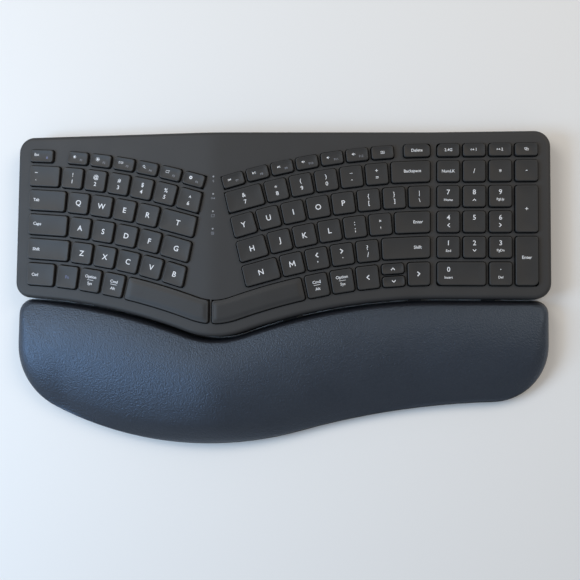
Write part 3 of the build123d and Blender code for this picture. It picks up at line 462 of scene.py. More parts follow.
def cap_rings(deck, patch, top, radii):
    """Rings of a cap from the foot of its skirt, over its rounded edge, to the middle of its top."""
    half = min(patch.length, patch.width) / 2
    bar = patch.pieces > 1
    lowered = BAR_FALL if bar else 0.0
    steps = [(-CAP_FLARE, CAP_SKIRT), (0.0, lowered + CAP_EDGE + 0.3)]
    for k in range(1, 6):
        angle = math.pi / 2 * k / 5
        steps.append((CAP_EDGE * (1 - math.cos(angle)), lowered + CAP_EDGE * (1 - math.sin(angle)) + 0.02))
    reach = half - CAP_EDGE - 0.4
    for share in (0.08, 0.18, 0.3, 0.42, 0.56, 0.72, 0.88, 1.0):
        inset = CAP_EDGE + reach * share
        if bar:
            climb = min(1.0, (inset - CAP_EDGE) / BAR_SHOULDER)
            depth = lowered * (1 + math.cos(math.pi * climb)) / 2
        else:
            depth = CAP_DISH * (1 - (1 - share) ** 2)
        steps.append((inset, 0.02 + depth))
    rings = []
    for inset, depth in steps:
        grown = max(0.0, inset - CAP_EDGE) * (0.0 if bar else 0.6) - min(0.0, inset)
        flat = patch.ring(inset, [radius + grown for radius in radii])
        rings.append([deck.solid(p, top - depth) for p in flat])
    return rings


# Caps with one wider corner: the node, the number of the cap and the corner, from the front left round
WIDE_CORNERS = {("key_delete", 0, 2), ("keys_device", 0, 3), ("key_pad_zero", 0, 0), ("key_pad_enter", 0, 1)}
cap_surfaces = {}
cap_middles = {}


def key_caps(node, body, deck):
    """All the caps of one node as one dished and rounded object."""
    form = bmesh.new()
    for number, island in enumerate(solid_islands(node)):
        top = max(deck.height(p) for p in island)
        crown = [deck.flat(p) for p in island if deck.height(p) > top - 0.01]
        middle = sum(crown, Vector((0.0, 0.0))) / len(crown)
        crown.sort(key=lambda p: math.atan2(p.y - middle.y, p.x - middle.x))
        corners = true_corners(crown, CAP_CORNER_CUT)
        patch = CapPatch(corners)
        cap_middles[(node, number)] = (deck, middle_of(corners), outline_direction(corners), top)
        radii = [WIDE_ROUND if (node, number, k) in WIDE_CORNERS else CAP_ROUND for k in range(4)]
        rows = [[form.verts.new(p) for p in ring] for ring in cap_rings(deck, patch, top, radii)]
        bridge(form, rows)
        form.faces.new(rows[-1])
    cap_surfaces[node] = BVHTree.FromBMesh(form)
    mesh = finished_mesh(form, node + "_caps")
    smooth(mesh)
    caps = new_object(node + "_caps", mesh, CAPS)
    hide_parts(node)
    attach(caps, body)


def middle_of(corners):
    """Middle of a cap outline."""
    return sum(corners, Vector((0.0, 0.0))) / len(corners)


def outline_direction(corners):
    """Direction of the front edge of a cap, which its legend is set along."""
    count = len(corners)
    best = max(range(count), key=lambda i: (corners[(i + 1) % count] - corners[i]).x)
    edge = (corners[(best + 1) % count] - corners[best]).normalized()
    return edge if count == 4 else Vector((1.0, 0.0))


for joint in frame["joints"]:
    if joint["name"].endswith("_press"):
        body = joint["child"]
        node = record["behaviour"]["bodies"][body][0]
        key_caps(node, body, Deck([-c for c in joint["axis"]]))

# Legends: each is its text, where it stands on the cap in millimetres, its size and its ink
INKS = {"white": WHITE_INK, "grey": GREY_INK, "blue": BLUE_INK}


def letter(text, size=4.2):
    return [(text, 0.0, 0.0, size, "white")]


def pair(upper, lower, size=3.1):
    return [(upper, 0.0, 2.5, size, "white"), (lower, 0.0, -2.6, size, "white")]


def number_pad(digit, word, size=1.9):
    return [(digit, 0.0, 3.2, 3.7, "white"), (word, 0.0, -2.6, size, "white")]


def words(upper, lower):
    return [
        (upper, 0.0, 2.6, 2.3, "white"),
        ("rule", 0.0, 0.3, 5.0, "white"),
        (lower, 0.0, -2.6, 2.2, "white"),
    ]


def function_key(icon, number):
    return [(icon, -2.6, 0.8, 2.3, "white"), ("F" + str(number), 2.9, -1.3, 1.7, "grey")]


LEGENDS = {
    "key_escape": [[("Esc", -4.0, 1.0, 2.2, "white"), ("lock", 4.6, -1.2, 1.9, "blue")]],
    "key_backquote": [[("~", -7.0, 2.6, 3.1, "white"), ("`", -7.0, -3.2, 3.1, "white")]],
    "key_tab": [[("Tab", -9.0, 0.3, 2.4, "white")]],
    "key_caps_lock": [[("Caps", -8.6, 0.3, 2.4, "white")]],
    "key_left_shift": [[("Shift", -9.8, -0.2, 2.4, "white")]],
    "key_left_ctrl": [[("Ctrl", -4.6, -0.4, 2.4, "white")]],
    "key_t": [letter("T")],
    "key_g": [letter("G")],
    "key_7": [pair("&", "7")],
    "key_h": [letter("H")],
    "key_n": [letter("N")],
    "key_delete": [[("Delete", 0.0, 0.3, 2.3, "white")]],
    "key_backspace": [[("Backspace", 1.4, 0.3, 2.3, "white")]],
    "key_enter": [[("Enter", 4.2, 0.2, 2.4, "white")]],
    "key_right_shift": [[("Shift", 8.6, 0.2, 2.4, "white")]],
    "key_arrow_left": [letter("<", 3.6)],
    "key_arrow_up": [letter("up", 3.0)],
    "key_arrow_down": [letter("down", 3.0)],
    "key_arrow_right": [letter(">", 3.6)],
    "key_pad_plus": [letter("+", 3.2)],
    "key_pad_enter": [[("Enter", 0.0, 2.6, 2.4, "white")]],
    "key_pad_zero": [[("0", -9.4, 3.2, 3.7, "white"), ("Insert", -9.4, -2.8, 1.9, "white")]],
    "key_pad_point": [number_pad(".", "Del")],
    "keys_function_left": [
        function_key("dim", 1), function_key("bright", 2), function_key("task", 3),
        function_key("search", 4), function_key("screen", 5), function_key("disc", 6),
    ],
    "keys_function_right": [
        function_key("previous", 7), function_key("play", 8), function_key("next", 9),
        function_key("mute", 10), function_key("quiet", 11), function_key("loud", 12),
        [("camera", 0.0, 0.0, 2.4, "white")],
    ],
    "keys_device": [
        [("2.4G", 0.0, 0.2, 2.2, "white")],
        [("link", -1.3, 0.2, 2.0, "white"), ("1", 1.4, 0.2, 2.2, "white")],
        [("link", -1.3, 0.2, 2.0, "white"), ("2", 1.4, 0.2, 2.2, "white")],
        [("copy", 0.0, 0.2, 2.6, "white")],
    ],
    "keys_number_left": [pair(*p) for p in ("!1", "@2", "#3", "$4", "%5", "^6")],
    "keys_number_right": [pair(*p) for p in ("*8", "(9", ")0", "_-", "+=")],
    "keys_upper_left": [letter(c) for c in "QWER"],
    "keys_upper_right": [letter(c) for c in "YUIOP"] + [pair("{", "["), pair("}", "]"), pair("|", "\\")],
    "keys_home_left": [letter(c) for c in "ASDF"],
    "keys_home_right": [letter(c) for c in "JKL"] + [pair(":", ";", 3.8), pair("\"", "'", 3.8)],
    "keys_lower_left": [letter(c) for c in "ZXCVB"],
    "keys_lower_right": [letter("M"), pair("<", ",", 3.6), pair(">", ".", 3.6), pair("?", "/", 3.6)],
    "keys_left_modifier": [[("Fn", 0.0, 0.0, 2.4, "blue")], words("Option", "Sys"), words("Cmd", "Alt")],
    "keys_right_modifier": [words("Cmd", "Alt"), words("Option", "Sys")],
    "keys_pad_top": [letter("NumLK", 2.2), letter("/", 3.4), letter("*", 3.6), letter("-", 3.4)],
    "keys_pad_upper": [number_pad("7", "Home"), number_pad("8", "up", 2.6), number_pad("9", "PgUp")],
    "keys_pad_middle": [
        number_pad("4", "<", 3.0), [("5", 0.0, 3.2, 3.7, "white")], number_pad("6", ">", 3.0),
    ],
    "keys_pad_lower": [number_pad("1", "End"), number_pad("2", "down", 2.6), number_pad("3", "PgDn")],
}


def disc(radius, x=0.0, y=0.0, sides=16):
    angles = [2 * math.pi * k / sides for k in range(sides)]
    return [(x + radius * math.cos(angle), y + radius * math.sin(angle)) for angle in angles]


def box(width, height, x=0.0, y=0.0):
    left, right, low, high = x - width / 2, x + width / 2, y - height / 2, y + height / 2
    return [(left, low), (right, low), (right, high), (left, high)]


def chevron(turn, thick=0.22):
    """An open arrowhead; turn is the direction that it points in, in degrees."""
    tail = (-0.5 - thick, 0.5 - thick * 0.4)
    points = [(0.0, 0.0), (-0.5, 0.5), tail, (-thick * 1.2, 0.0), (tail[0], -tail[1]), (-0.5, -0.5)]
    c, s = math.cos(math.radians(turn)), math.sin(math.radians(turn))
    shifted = [(x + 0.3, y) for x, y in points]
    return [(x * c - y * s, x * s + y * c) for x, y in shifted]


def ring_parts(outer, inner, x=0.0, y=0.0, sides=16):
    """Quads that make a flat ring."""
    big, small = disc(outer, x, y, sides), disc(inner, x, y, sides)
    return [[big[k], big[(k + 1) % sides], small[(k + 1) % sides], small[k]] for k in range(sides)]


def frame_parts(width, height, line, x=0.0, y=0.0):
    """Four bars that make an open rectangle."""
    return [
        box(width, line, x, y + (height - line) / 2), box(width, line, x, y - (height - line) / 2),
        box(line, height, x - (width - line) / 2, y), box(line, height, x + (width - line) / 2, y),
    ]


def rays(inner, outer, count=8, thick=0.1):
    parts = []
    for k in range(count):
        c, s = math.cos(2 * math.pi * k / count), math.sin(2 * math.pi * k / count)
        corners = ((inner, -thick), (outer, -thick), (outer, thick), (inner, thick))
        parts.append([(x * c - y * s, x * s + y * c) for x, y in corners])
    return parts


def speaker(waves):
    horn = [[(-0.55, -0.18), (-0.3, -0.18), (0.0, -0.45), (0.0, 0.45), (-0.3, 0.18), (-0.55, 0.18)]]
    return horn + [box(0.1, 0.3 + 0.25 * k, 0.2 + 0.22 * k) for k in range(waves)]


def strokes(points, thick=0.16):
    """Bars of one thickness along a line of points."""
    bars = []
    for a, b in zip(points, points[1:]):
        a, b = Vector(a), Vector(b)
        side = (b - a).orthogonal().normalized() * thick / 2
        on = (b - a).normalized() * thick / 2
        bars.append([tuple(p) for p in (a - on - side, b + on - side, b + on + side, a - on + side)])
    return bars


ICONS = {
    "M": strokes([(-0.46, -0.42), (-0.4, 0.4), (0.0, -0.2), (0.4, 0.4), (0.46, -0.42)]),
    "rule": [box(1.0, 0.06)],
    "up": [chevron(90.0)],
    "down": [chevron(-90.0)],
    "<": [chevron(180.0)],
    ">": [chevron(0.0)],
    "lock": [box(0.8, 0.6, 0.0, -0.15)] + frame_parts(0.5, 0.6, 0.1, 0.0, 0.3),
    "dim": [disc(0.3)] + rays(0.42, 0.55),
    "bright": [disc(0.32)] + rays(0.45, 0.7),
    "task": frame_parts(0.5, 0.7, 0.1, -0.5) + frame_parts(0.5, 0.7, 0.1, 0.25) + [box(0.12, 0.7, 0.7)],
    "search": ring_parts(0.4, 0.28, -0.1, 0.1) + [[(0.15, -0.1), (0.6, -0.55), (0.5, -0.65), (0.05, -0.2)]],
    "screen": frame_parts(1.1, 0.8, 0.1) + [box(0.3, 0.12, 0.5, 0.45)],
    "disc": ring_parts(0.55, 0.22) + [disc(0.08)],
    "previous": [
        box(0.1, 0.7, -0.5), [(0.0, -0.35), (0.0, 0.35), (-0.42, 0.0)],
        [(0.45, -0.35), (0.45, 0.35), (0.03, 0.0)],
    ],
    "play": [[(-0.5, -0.4), (0.1, 0.0), (-0.5, 0.4)], box(0.1, 0.75, 0.25), box(0.1, 0.75, 0.48)],
    "next": [
        box(0.1, 0.7, 0.5), [(0.0, 0.35), (0.0, -0.35), (0.42, 0.0)],
        [(-0.45, 0.35), (-0.45, -0.35), (-0.03, 0.0)],
    ],
    "mute": speaker(0) + [
        [(0.15, -0.2), (0.55, 0.2), (0.49, 0.26), (0.09, -0.14)],
        [(0.15, 0.2), (0.55, -0.2), (0.49, -0.26), (0.09, 0.14)],
    ],
    "quiet": speaker(1),
    "loud": speaker(2),
    "camera": frame_parts(1.2, 0.8, 0.1) + ring_parts(0.26, 0.15),
    "copy": frame_parts(0.8, 0.6, 0.1, -0.15, 0.12) + frame_parts(0.8, 0.6, 0.1, 0.2, -0.12),
    "bolt": [[(0.1, 0.6), (-0.3, -0.05), (0.02, -0.05), (-0.1, -0.6), (0.3, 0.1), (-0.02, 0.1)]],
    "link": ring_parts(0.3, 0.18, -0.4) + [disc(0.25, 0.4)] + [box(0.3, 0.1)],
    "pad": frame_parts(0.9, 0.9, 0.1) + [box(0.7, 0.08), box(0.08, 0.7)],
}


def flat_shapes(text, size):
    """Flat faces of an icon or of some lettering, centred, in millimetres: a list of loops of points."""
    if text in ICONS:
        return [[Vector((x * size, y * size)) for x, y in part] for part in ICONS[text]]
    curve = bpy.data.curves.new("lettering", "FONT")
    curve.body = text
    curve.size = size * LETTER_SCALE
    curve.align_x = "CENTER"
    curve.align_y = "CENTER"
    curve.resolution_u = 3
    curve.offset = 0.02 + 0.008 * size
    obj = bpy.data.objects.new("lettering", curve)
    bpy.context.scene.collection.objects.link(obj)
    mesh = bpy.data.meshes.new_from_object(obj.evaluated_get(bpy.context.evaluated_depsgraph_get()))
    xs = [v.co.x for v in mesh.vertices]
    ys = [v.co.y for v in mesh.vertices]
    shift = Vector(((min(xs) + max(xs)) / 2, (min(ys) + max(ys)) / 2))
    loops = [[mesh.vertices[i].co.xy - shift for i in face.vertices] for face in mesh.polygons]
    bpy.data.objects.remove(obj)
    bpy.data.curves.remove(curve)
    bpy.data.meshes.remove(mesh)
    return loops


def legends(node, body):
    """The printed legends of one node's caps, laid on their dished tops."""
    inks = {}
    for number, marks in enumerate(LEGENDS[node]):
        deck, centre, edge, top = cap_middles[(node, number)]
        side = Vector((-edge.y, edge.x))
        for text, x, y, height, ink in marks:
            for loop in flat_shapes(text, height):
                points = []
                for p in loop:
                    spot = centre + edge * (x + p.x) + side * (y + p.y)
                    start = deck.solid(spot, top + 1.0)
                    hit = cap_surfaces[node].ray_cast(start, -deck.up)[0]
                    if hit is None:
                        hit = deck.solid(spot, top)
                    points.append(hit + deck.up * LEGEND_LIFT * MM)
                inks.setdefault(ink, []).append(points)
    for ink, faces in inks.items():
        form = bmesh.new()
        for points in faces:
            form.faces.new([form.verts.new(p) for p in points])
        bmesh.ops.remove_doubles(form, verts=form.verts, dist=1e-7)
        bmesh.ops.recalc_face_normals(form, faces=form.faces)
        mesh = finished_mesh(form, node + "_" + ink + "_legends")
        print_obj = new_object(mesh.name, mesh, INKS[ink])
        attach(print_obj, body)


for node in LEGENDS:
    legends(node, node_bodies[node])


def plan_loop(node, height):
    """The outermost outline of a CAD node cut level at a height, counter-clockwise, in metres."""
    form = merged_form(node)
    cut = bmesh.ops.bisect_plane(
        form, geom=form.verts[:] + form.edges[:] + form.faces[:], plane_co=(0, 0, height), plane_no=(0, 0, 1))
    links = joined_to(e for e in cut["geom_cut"] if isinstance(e, bmesh.types.BMEdge))
    loops, seen = [], set()
    for start in links:
        if start in seen:
            continue
        loop, last, here = [], None, start
        while here not in seen:
            seen.add(here)
            loop.append(here.co.xy.copy())
            ahead = [v for v in links[here] if v is not last and v not in seen]
            if not ahead:
                break
            last, here = here, ahead[0]
        loops.append(loop)
    form.free()
    outline = max(loops, key=lambda loop: max(p.x for p in loop) - min(p.x for p in loop))
    area = sum(a.cross(b) for a, b in zip(outline, outline[1:] + outline[:1]))
    return outline if area > 0 else outline[::-1]


def crossing(outline, x, front):
    """y where the outline crosses x, on its front or its back side."""
    found = []
    for a, b in zip(outline, outline[1:] + outline[:1]):
        if (a.x - x) * (b.x - x) <= 0 and a.x != b.x:
            found.append(a.y + (b.y - a.y) * (x - a.x) / (b.x - a.x))
    return min(found) if front else max(found)


def end_points(outline, x, left, step):
    """Points of the outline round its left or right end, from one side of x to the other."""
    count = len(outline)
    beyond = [p.x < x if left else p.x > x for p in outline]
    first = next(i for i in range(count) if beyond[i] and not beyond[i - 1])
    chain = [Vector((x, crossing(outline, x, not left)))]
    i = first
    while beyond[i % count]:
        chain.append(outline[i % count])
        i += 1
    chain.append(Vector((x, crossing(outline, x, left))))
    lengths = [(b - a).length for a, b in zip(chain, chain[1:])]
    number = round(sum(lengths) / step)
    points, k, gone = [], 0, 0.0
    for n in range(1, number):
        want = sum(lengths) * n / number
        while gone + lengths[k] < want:
            gone += lengths[k]
            k += 1
        points.append(chain[k].lerp(chain[k + 1], (want - gone) / lengths[k]))
    return points


def crown_height(x):
    """Height of the crown of the cushion at x, which follows the tent of the key deck."""
    heights = []
    for k in SOFTENING:
        step = x + 3.0 * k
        if step < CREST_X:
            heights.append(CREST_TOP - (CREST_X - step) * LEFT_SLOPE)
        else:
            heights.append(max(RIGHT_TOP, CREST_TOP - (step - CREST_X) * RIGHT_SLOPE))
    return sum(heights) / len(heights)


def rest_cover():
    """The padded leatherette cover: a crowned pad whose sides roll in to the tray."""
    plan = [p / MM for p in plan_loop("rest_tray", TRAY_CUT * MM)]
    left = min(p.x for p in plan) + COVER_ENDS[0]
    right = max(p.x for p in plan) - COVER_ENDS[1]
    number = round((right - left) / COVER_STEP)
    stations = [left + (right - left) * k / number for k in range(number + 1)]
    backs = [crossing(plan, x, False) for x in stations]
    fronts = [crossing(plan, x, True) for x in stations]
    outline = [Vector((x, y)) for x, y in zip(stations, fronts)]
    home = list(range(number + 1))
    turn = end_points(plan, right, False, COVER_STEP)
    outline += turn
    home += [number] * len(turn)
    outline += [Vector((x, y)) for x, y in zip(stations[::-1], backs[::-1])]
    home += list(range(number, -1, -1))
    turn = end_points(plan, left, True, COVER_STEP)
    outline += turn
    home += [0] * len(turn)
    count = len(outline)
    spine = [back + (front - back) * COVER_CROWN_PLACE for back, front in zip(backs, fronts)]
    spine = [Vector((x, y)) for x, y in zip(stations, spine)]
    outline = moved_out(outline, -COVER_INSET)
    facing = []
    for i in range(count):
        side = outline[(i + 1) % count] - outline[i - 1]
        facing.append(-side.normalized().x)
    facing = [sum(facing[(i + k) % count] for k in SOFTENING) / len(SOFTENING) for i in range(count)]

    def top_at(p, i):
        """Height of the crowned top over p, a point on the way from edge point i to the spine."""
        k = home[i]
        v = (backs[k] - p.y) / (backs[k] - fronts[k])
        v = max(0.0, min(1.0, v))
        return crown_height(p.x) - COVER_DROP * ((v - COVER_CROWN_PLACE) / COVER_DROP_REACH) ** 2

    foot = ((COVER_FOOT, 1.0), (COVER_FOOT + 0.6, 0.5), (COVER_FOOT + 1.6, 0.12), (COVER_SHOULDER, 0.0))
    rings = []
    for height, tuck in foot:
        rings.append([(p.x, p.y, height) for p in moved_out(outline, -COVER_TUCK * tuck)])
    for k in range(1, 10):
        angle = math.pi / 2 * k / 9
        ring = []
        for i, p in enumerate(outline):
            roll = COVER_ROLL_FRONT + (COVER_ROLL_BACK - COVER_ROLL_FRONT) * (facing[i] + 1) / 2
            ray = spine[home[i]] - p
            q = p + ray.normalized() * roll * (1 - math.cos(angle))
            z = COVER_SHOULDER + (top_at(q, i) - COVER_SHOULDER) * math.sin(angle)
            ring.append((q.x, q.y, z))
        rings.append(ring)
    inner = [Vector(p[:2]) for p in rings[-1]]
    for share in (0.14, 0.3, 0.46, 0.62, 0.78, 0.9):
        ring = []
        for i, p in enumerate(inner):
            q = p.lerp(spine[home[i]], share)
            ring.append((q.x, q.y, top_at(q, i)))
        rings.append(ring)
    form = bmesh.new()
    rows = [[form.verts.new(Vector(p) * MM) for p in ring] for ring in rings]
    ridge = [form.verts.new(Vector((p.x, p.y, top_at(p, k))) * MM) for k, p in enumerate(spine)]
    bridge(form, rows)
    keel = [form.verts.new(Vector((p.x, p.y, COVER_FOOT)) * MM) for p in spine]
    for ring, line in ((rows[-1], ridge), (rows[0], keel)):
        for i in range(count):
            j = (i + 1) % count
            corners = [ring[i], ring[j], line[home[j]]]
            if home[i] != home[j]:
                corners.append(line[home[i]])
            form.faces.new(corners if line is ridge else corners[::-1])
    mesh = finished_mesh(form, "wrist_rest_cover")
    mesh.shade_smooth()
    cover = new_object("wrist_rest_cover", mesh, LEATHER)
    pressed_out(cover)
    cover.modifiers.new("fine_skin", "SUBSURF").levels = 1
    apply_modifiers(cover)
    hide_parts("rest_cover")
    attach(cover, node_bodies["rest_cover"])


def pressed_out(cover):
    """Cloth pressed out by its padding and held along its foot; no point moves further than CLOTH_REACH."""
    mesh = cover.data
    held = [v.index for v in mesh.vertices if v.co.z < (COVER_SHOULDER + 0.2) * MM]
    cover.vertex_groups.new(name="held").add(held, 1.0, "REPLACE")
    before = [v.co.copy() for v in mesh.vertices]
    padding = cover.modifiers.new("padding", "CLOTH")
    cloth = padding.settings
    cloth.quality = 5
    cloth.mass = 0.3
    cloth.tension_stiffness = 8.0
    cloth.compression_stiffness = 8.0
    cloth.shear_stiffness = 5.0
    cloth.bending_stiffness = 2.0
    cloth.use_pressure = True
    cloth.uniform_pressure_force = CLOTH_PRESSURE
    cloth.effector_weights.gravity = 0.0
    cloth.vertex_group_mass = "held"
    padding.point_cache.frame_start = 1
    padding.point_cache.frame_end = CLOTH_FRAMES
    for number in range(1, CLOTH_FRAMES + 1):
        bpy.context.scene.frame_set(number)
    apply_modifiers(cover)
    bpy.context.scene.frame_set(1)
    for vert, start in zip(cover.data.vertices, before):
        move = vert.co - start
        if move.length > CLOTH_REACH * MM:
            vert.co = start + move.normalized() * CLOTH_REACH * MM


def foam_block():
    """The foam inside the cover: a rounded block of its own, a little smaller than the cover."""
    form = merged_form("rest_foam")
    middle = sum((v.co for v in form.verts), Vector()) / len(form.verts)
    for vert in form.verts:
        flat = (vert.co - middle) * FOAM_SHARE
        lowest = FOAM_FOOT * MM
        vert.co = Vector((middle.x + flat.x, middle.y + flat.y, lowest + (vert.co.z - lowest) * FOAM_RISE))
    mesh = finished_mesh(form, "foam_block")
    mesh.shade_smooth()
    foam = new_object("foam_block", mesh, SLOT_MATERIALS["rest_foam"])
    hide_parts("rest_foam")
    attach(foam, node_bodies["rest_foam"])


def apply_modifiers(obj):
    """Put the modifiers of an object into its mesh."""
    mesh = bpy.data.meshes.new_from_object(obj.evaluated_get(bpy.context.evaluated_depsgraph_get()))
    obj.modifiers.clear()
    obj.data = mesh


def skin_normal(x):
    """Upward direction of the skin at x, in millimetres, eased over its crest and over its bend."""
    left = blend_step(x, CREST_X - CREST_EASE, CREST_X + CREST_EASE)
    flat = blend_step(x, BEND_X - CREST_EASE, BEND_X + CREST_EASE)
    slope = LEFT_SLOPE * (1 - left) - RIGHT_SLOPE * left * (1 - flat)
    return Vector((-slope, 0.0, 1.0)).normalized()


def blend_step(x, low, high):
    share = max(0.0, min(1.0, (x - low) / (high - low)))
    return share * share * (3 - 2 * share)


def skinned_copy(node):
    """A copy of the top case without its chamfer, whose skin shades as one smooth tent."""
    form = merged_form(node)
    slanted = [f for f in form.faces if CHAMFER_UP[0] < f.normal.z < CHAMFER_UP[1]]
    bmesh.ops.delete(form, geom=slanted, context="FACES_ONLY")
    mesh = finished_mesh(form, node + "_moulding")
    smooth(mesh, 25.0)
    directions = [corner.vector.copy() for corner in mesh.corner_normals]
    for face in mesh.polygons:
        if face.normal.z > SKIN_UP and face.center.z > SKIN_LOWEST * MM:
            for corner in face.loop_indices:
                place = mesh.vertices[mesh.loops[corner].vertex_index].co
                directions[corner] = skin_normal(place.x / MM)
    mesh.normals_split_custom_set(directions)
    shell = new_object(node + "_moulding", mesh, SLOT_MATERIALS[slot_of[node]])
    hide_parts(node)
    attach(shell, node_bodies[node])


def edge_chain(edges):
    """The corner points of a closed chain of edges, in order."""
    links = joined_to(edges)
    first = next(iter(links))
    chain, last, here = [first], None, first
    while True:
        ahead = [v for v in links[here] if v is not last]
        last, here = here, ahead[0]
        if here is first:
            return [v.co.copy() for v in chain]
        chain.append(here)


def nearest_on(chain, point):
    """Point of a closed chain that lies nearest in plan."""
    best = None
    for a, b in zip(chain, chain[1:] + chain[:1]):
        side = (b - a).xy
        share = max(0.0, min(1.0, (point - a).xy.dot(side) / max(side.length_squared, 1e-18)))
        spot = a.lerp(b, share)
        gap = (spot - point).xy.length
        if best is None or gap < best[0]:
            best = (gap, spot)
    return best[1]


def rounded_rim(node):
    """The rounded upper rim of the case, laid over its chamfer from the wall to the skin."""
    form = merged_form(node)
    slanted = {f for f in form.faces if CHAMFER_UP[0] < f.normal.z < CHAMFER_UP[1]}
    low_edges = [e for f in slanted for e in f.edges if any(abs(g.normal.z) < WALL_UP for g in e.link_faces)]
    high_edges = [e for f in slanted for e in f.edges if any(g.normal.z > 0.9 for g in e.link_faces)]
    low, high = edge_chain(low_edges), edge_chain(high_edges)
    surface = BVHTree.FromBMesh(form)
    form.free()
    spots = []
    for a, b in zip(low, low[1:] + low[:1]):
        number = max(1, round((b - a).length / 0.004))
        spots += [a.lerp(b, k / number) for k in range(number)]
    band = bmesh.new()
    rows = [[] for _ in range(RIM_STEPS + 3)]
    for spot in spots:
        top = nearest_on(high, spot)
        inward = Vector(((top - spot).x, (top - spot).y, 0.0))
        inward_side = inward.normalized()
        middle = Vector((top.x, top.y, spot.z))
        rise = Vector((0.0, 0.0, top.z - spot.z))
        lift = RIM_LIFT * MM
        rows[0].append(spot - inward_side * lift - Vector((0.0, 0.0, RIM_OVERLAP * MM)))
        for k in range(RIM_STEPS + 1):
            angle = math.pi / 2 * k / RIM_STEPS
            out = (-inward_side * math.cos(angle) + Vector((0.0, 0.0, math.sin(angle)))) * lift
            rows[k + 1].append(middle - inward * math.cos(angle) + rise * math.sin(angle) + out)
        inner = top + inward_side * RIM_OVERLAP * MM
        hit = surface.ray_cast(inner + Vector((0.0, 0.0, 0.01)), Vector((0.0, 0.0, -1.0)))[0]
        rows[-1].append((hit or inner) + Vector((0.0, 0.0, lift)))
    bridge(band, [[band.verts.new(p) for p in row] for row in rows])
    bmesh.ops.recalc_face_normals(band, faces=band.faces)
    mesh = finished_mesh(band, node + "_rim")
    mesh.shade_smooth()
    rim = new_object(node + "_rim", mesh, SLOT_MATERIALS[slot_of[node]])
    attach(rim, node_bodies[node])


def well_corners(node):
    """Rounded inner corners of the key wells: small webs between each sharp corner and its arc."""
    form = merged_form(node)
    skin = {f for f in form.faces if f.normal.z > SKIN_UP and f.calc_center_median().z > SKIN_LOWEST * MM}
    borders = [e for f in skin for e in f.edges if any(abs(g.normal.z) < WALL_UP for g in e.link_faces)]
    webs = bmesh.new()
    for vert, ahead in joined_to(borders).items():
        if len(ahead) != 2:
            continue
        before, after = ahead[0].co - vert.co, ahead[1].co - vert.co
        turn = before.angle(after)
        if not 1.1 < turn < 2.2 or min(before.length, after.length) < 0.004:
            continue
        reach = WELL_ROUND * MM / math.tan(turn / 2)
        bisector = (before.normalized() + after.normalized()).normalized()
        middle = vert.co + bisector * WELL_ROUND * MM / math.sin(turn / 2)
        start = vert.co + before.normalized() * reach
        end = vert.co + after.normalized() * reach
        arc = [start]
        for k in range(1, 6):
            spoke = (start - middle).lerp(end - middle, k / 6).normalized()
            arc.append(middle + spoke * WELL_ROUND * MM)
        arc.append(end)
        down = Vector((0.0, 0.0, -WELL_DEPTH * MM))
        top = [webs.verts.new(p) for p in [vert.co] + arc]
        face = webs.faces.new(top)
        face.normal_update()
        if face.normal.z < 0:
            face.normal_flip()
        rim = top[1:]
        low = [webs.verts.new(v.co + down) for v in rim]
        for k in range(len(rim) - 1):
            webs.faces.new((rim[k], rim[k + 1], low[k + 1], low[k]))
    form.free()
    mesh = finished_mesh(webs, node + "_well_corners")
    smooth(mesh, 25.0)
    corners = new_object(mesh.name, mesh, SLOT_MATERIALS[slot_of[node]])
    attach(corners, node_bodies[node])


CREST_SIGNS = (("bolt", 80.9), ("link", 67.7), ("screen", 54.4), ("pad", 41.2))


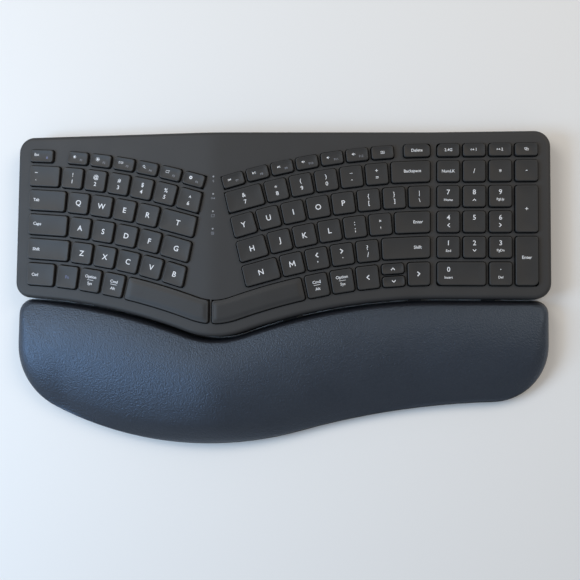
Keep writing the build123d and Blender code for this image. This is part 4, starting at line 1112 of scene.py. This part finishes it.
def crest_icons(node):
    """Small printed signs under the four lights on the crest of the case."""
    form = merged_form(node)
    surface = BVHTree.FromBMesh(form)
    form.clear()
    for text, y in CREST_SIGNS:
        for loop in flat_shapes(text, 2.3):
            points = []
            for p in loop:
                start = Vector((CREST_X + 0.7 + p.x, y + p.y, 60.0)) * MM
                hit = surface.ray_cast(start, Vector((0.0, 0.0, -1.0)))[0]
                points.append(hit + Vector((0.0, 0.0, LEGEND_LIFT * MM)))
            form.faces.new([form.verts.new(p) for p in points])
    bmesh.ops.recalc_face_normals(form, faces=form.faces)
    mesh = finished_mesh(form, "crest_signs")
    signs = new_object("crest_signs", mesh, GREY_INK)
    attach(signs, node_bodies[node])


rest_cover()
foam_block()
skinned_copy("top_case")
rounded_rim("top_case")
well_corners("top_case")
crest_icons("top_case")

# Floor, backdrop and lights
floor_form = bmesh.new()
bmesh.ops.create_grid(floor_form, x_segments=1, y_segments=1, size=3.0)
floor_shader = Shader("pale_floor", (0.82, 0.82, 0.81), 0.7)
floor = new_object("floor", finished_mesh(floor_form, "floor"), floor_shader.material)
floor.location.z = -0.0002

world = bpy.data.worlds.new("studio")
world.use_nodes = True
world.node_tree.nodes["Background"].inputs[0].default_value = (0.95, 0.97, 1.0, 1.0)
world.node_tree.nodes["Background"].inputs[1].default_value = 0.35
bpy.context.scene.world = world


def area_light(name, power, size, at, aim, color):
    light = bpy.data.lights.new(name, "AREA")
    light.energy = power
    light.size = size
    light.color = color
    lamp = bpy.data.objects.new(name, light)
    bpy.context.scene.collection.objects.link(lamp)
    lamp.location = at
    lamp.rotation_euler = (Vector(aim) - Vector(at)).to_track_quat("-Z", "Y").to_euler()


area_light("left_panel", 5.0, 0.6, (-0.66, 0.5, 1.02), (-0.05, 0.0, 0.0), (1.0, 0.94, 0.86))
area_light("cool_panel", 8.2, 0.55, (-0.88, -0.14, 0.74), (-0.15, -0.06, 0.0), (0.5, 0.72, 1.0))
area_light("right_panel", 6.5, 0.8, (0.95, 0.75, 1.1), (0.0, 0.0, 0.0), (1.0, 0.84, 0.66))

camera_data = bpy.data.cameras.new("photo_camera")
camera_data.sensor_width = SENSOR_WIDTH
camera_data.lens = CAMERA_FOCAL_PX / IMAGE_PX * SENSOR_WIDTH
camera = bpy.data.objects.new("photo_camera", camera_data)
bpy.context.scene.collection.objects.link(camera)
turns = [Matrix.Rotation(angle, 4, axis) for angle, axis in zip(CAMERA_TILT, "XYZ")]
camera.matrix_world = Matrix.Translation(Vector(CAMERA_AT) * MM) @ (turns[0] @ turns[1] @ turns[2])
bpy.context.scene.camera = camera
bpy.context.scene.view_settings.view_transform = "Standard"
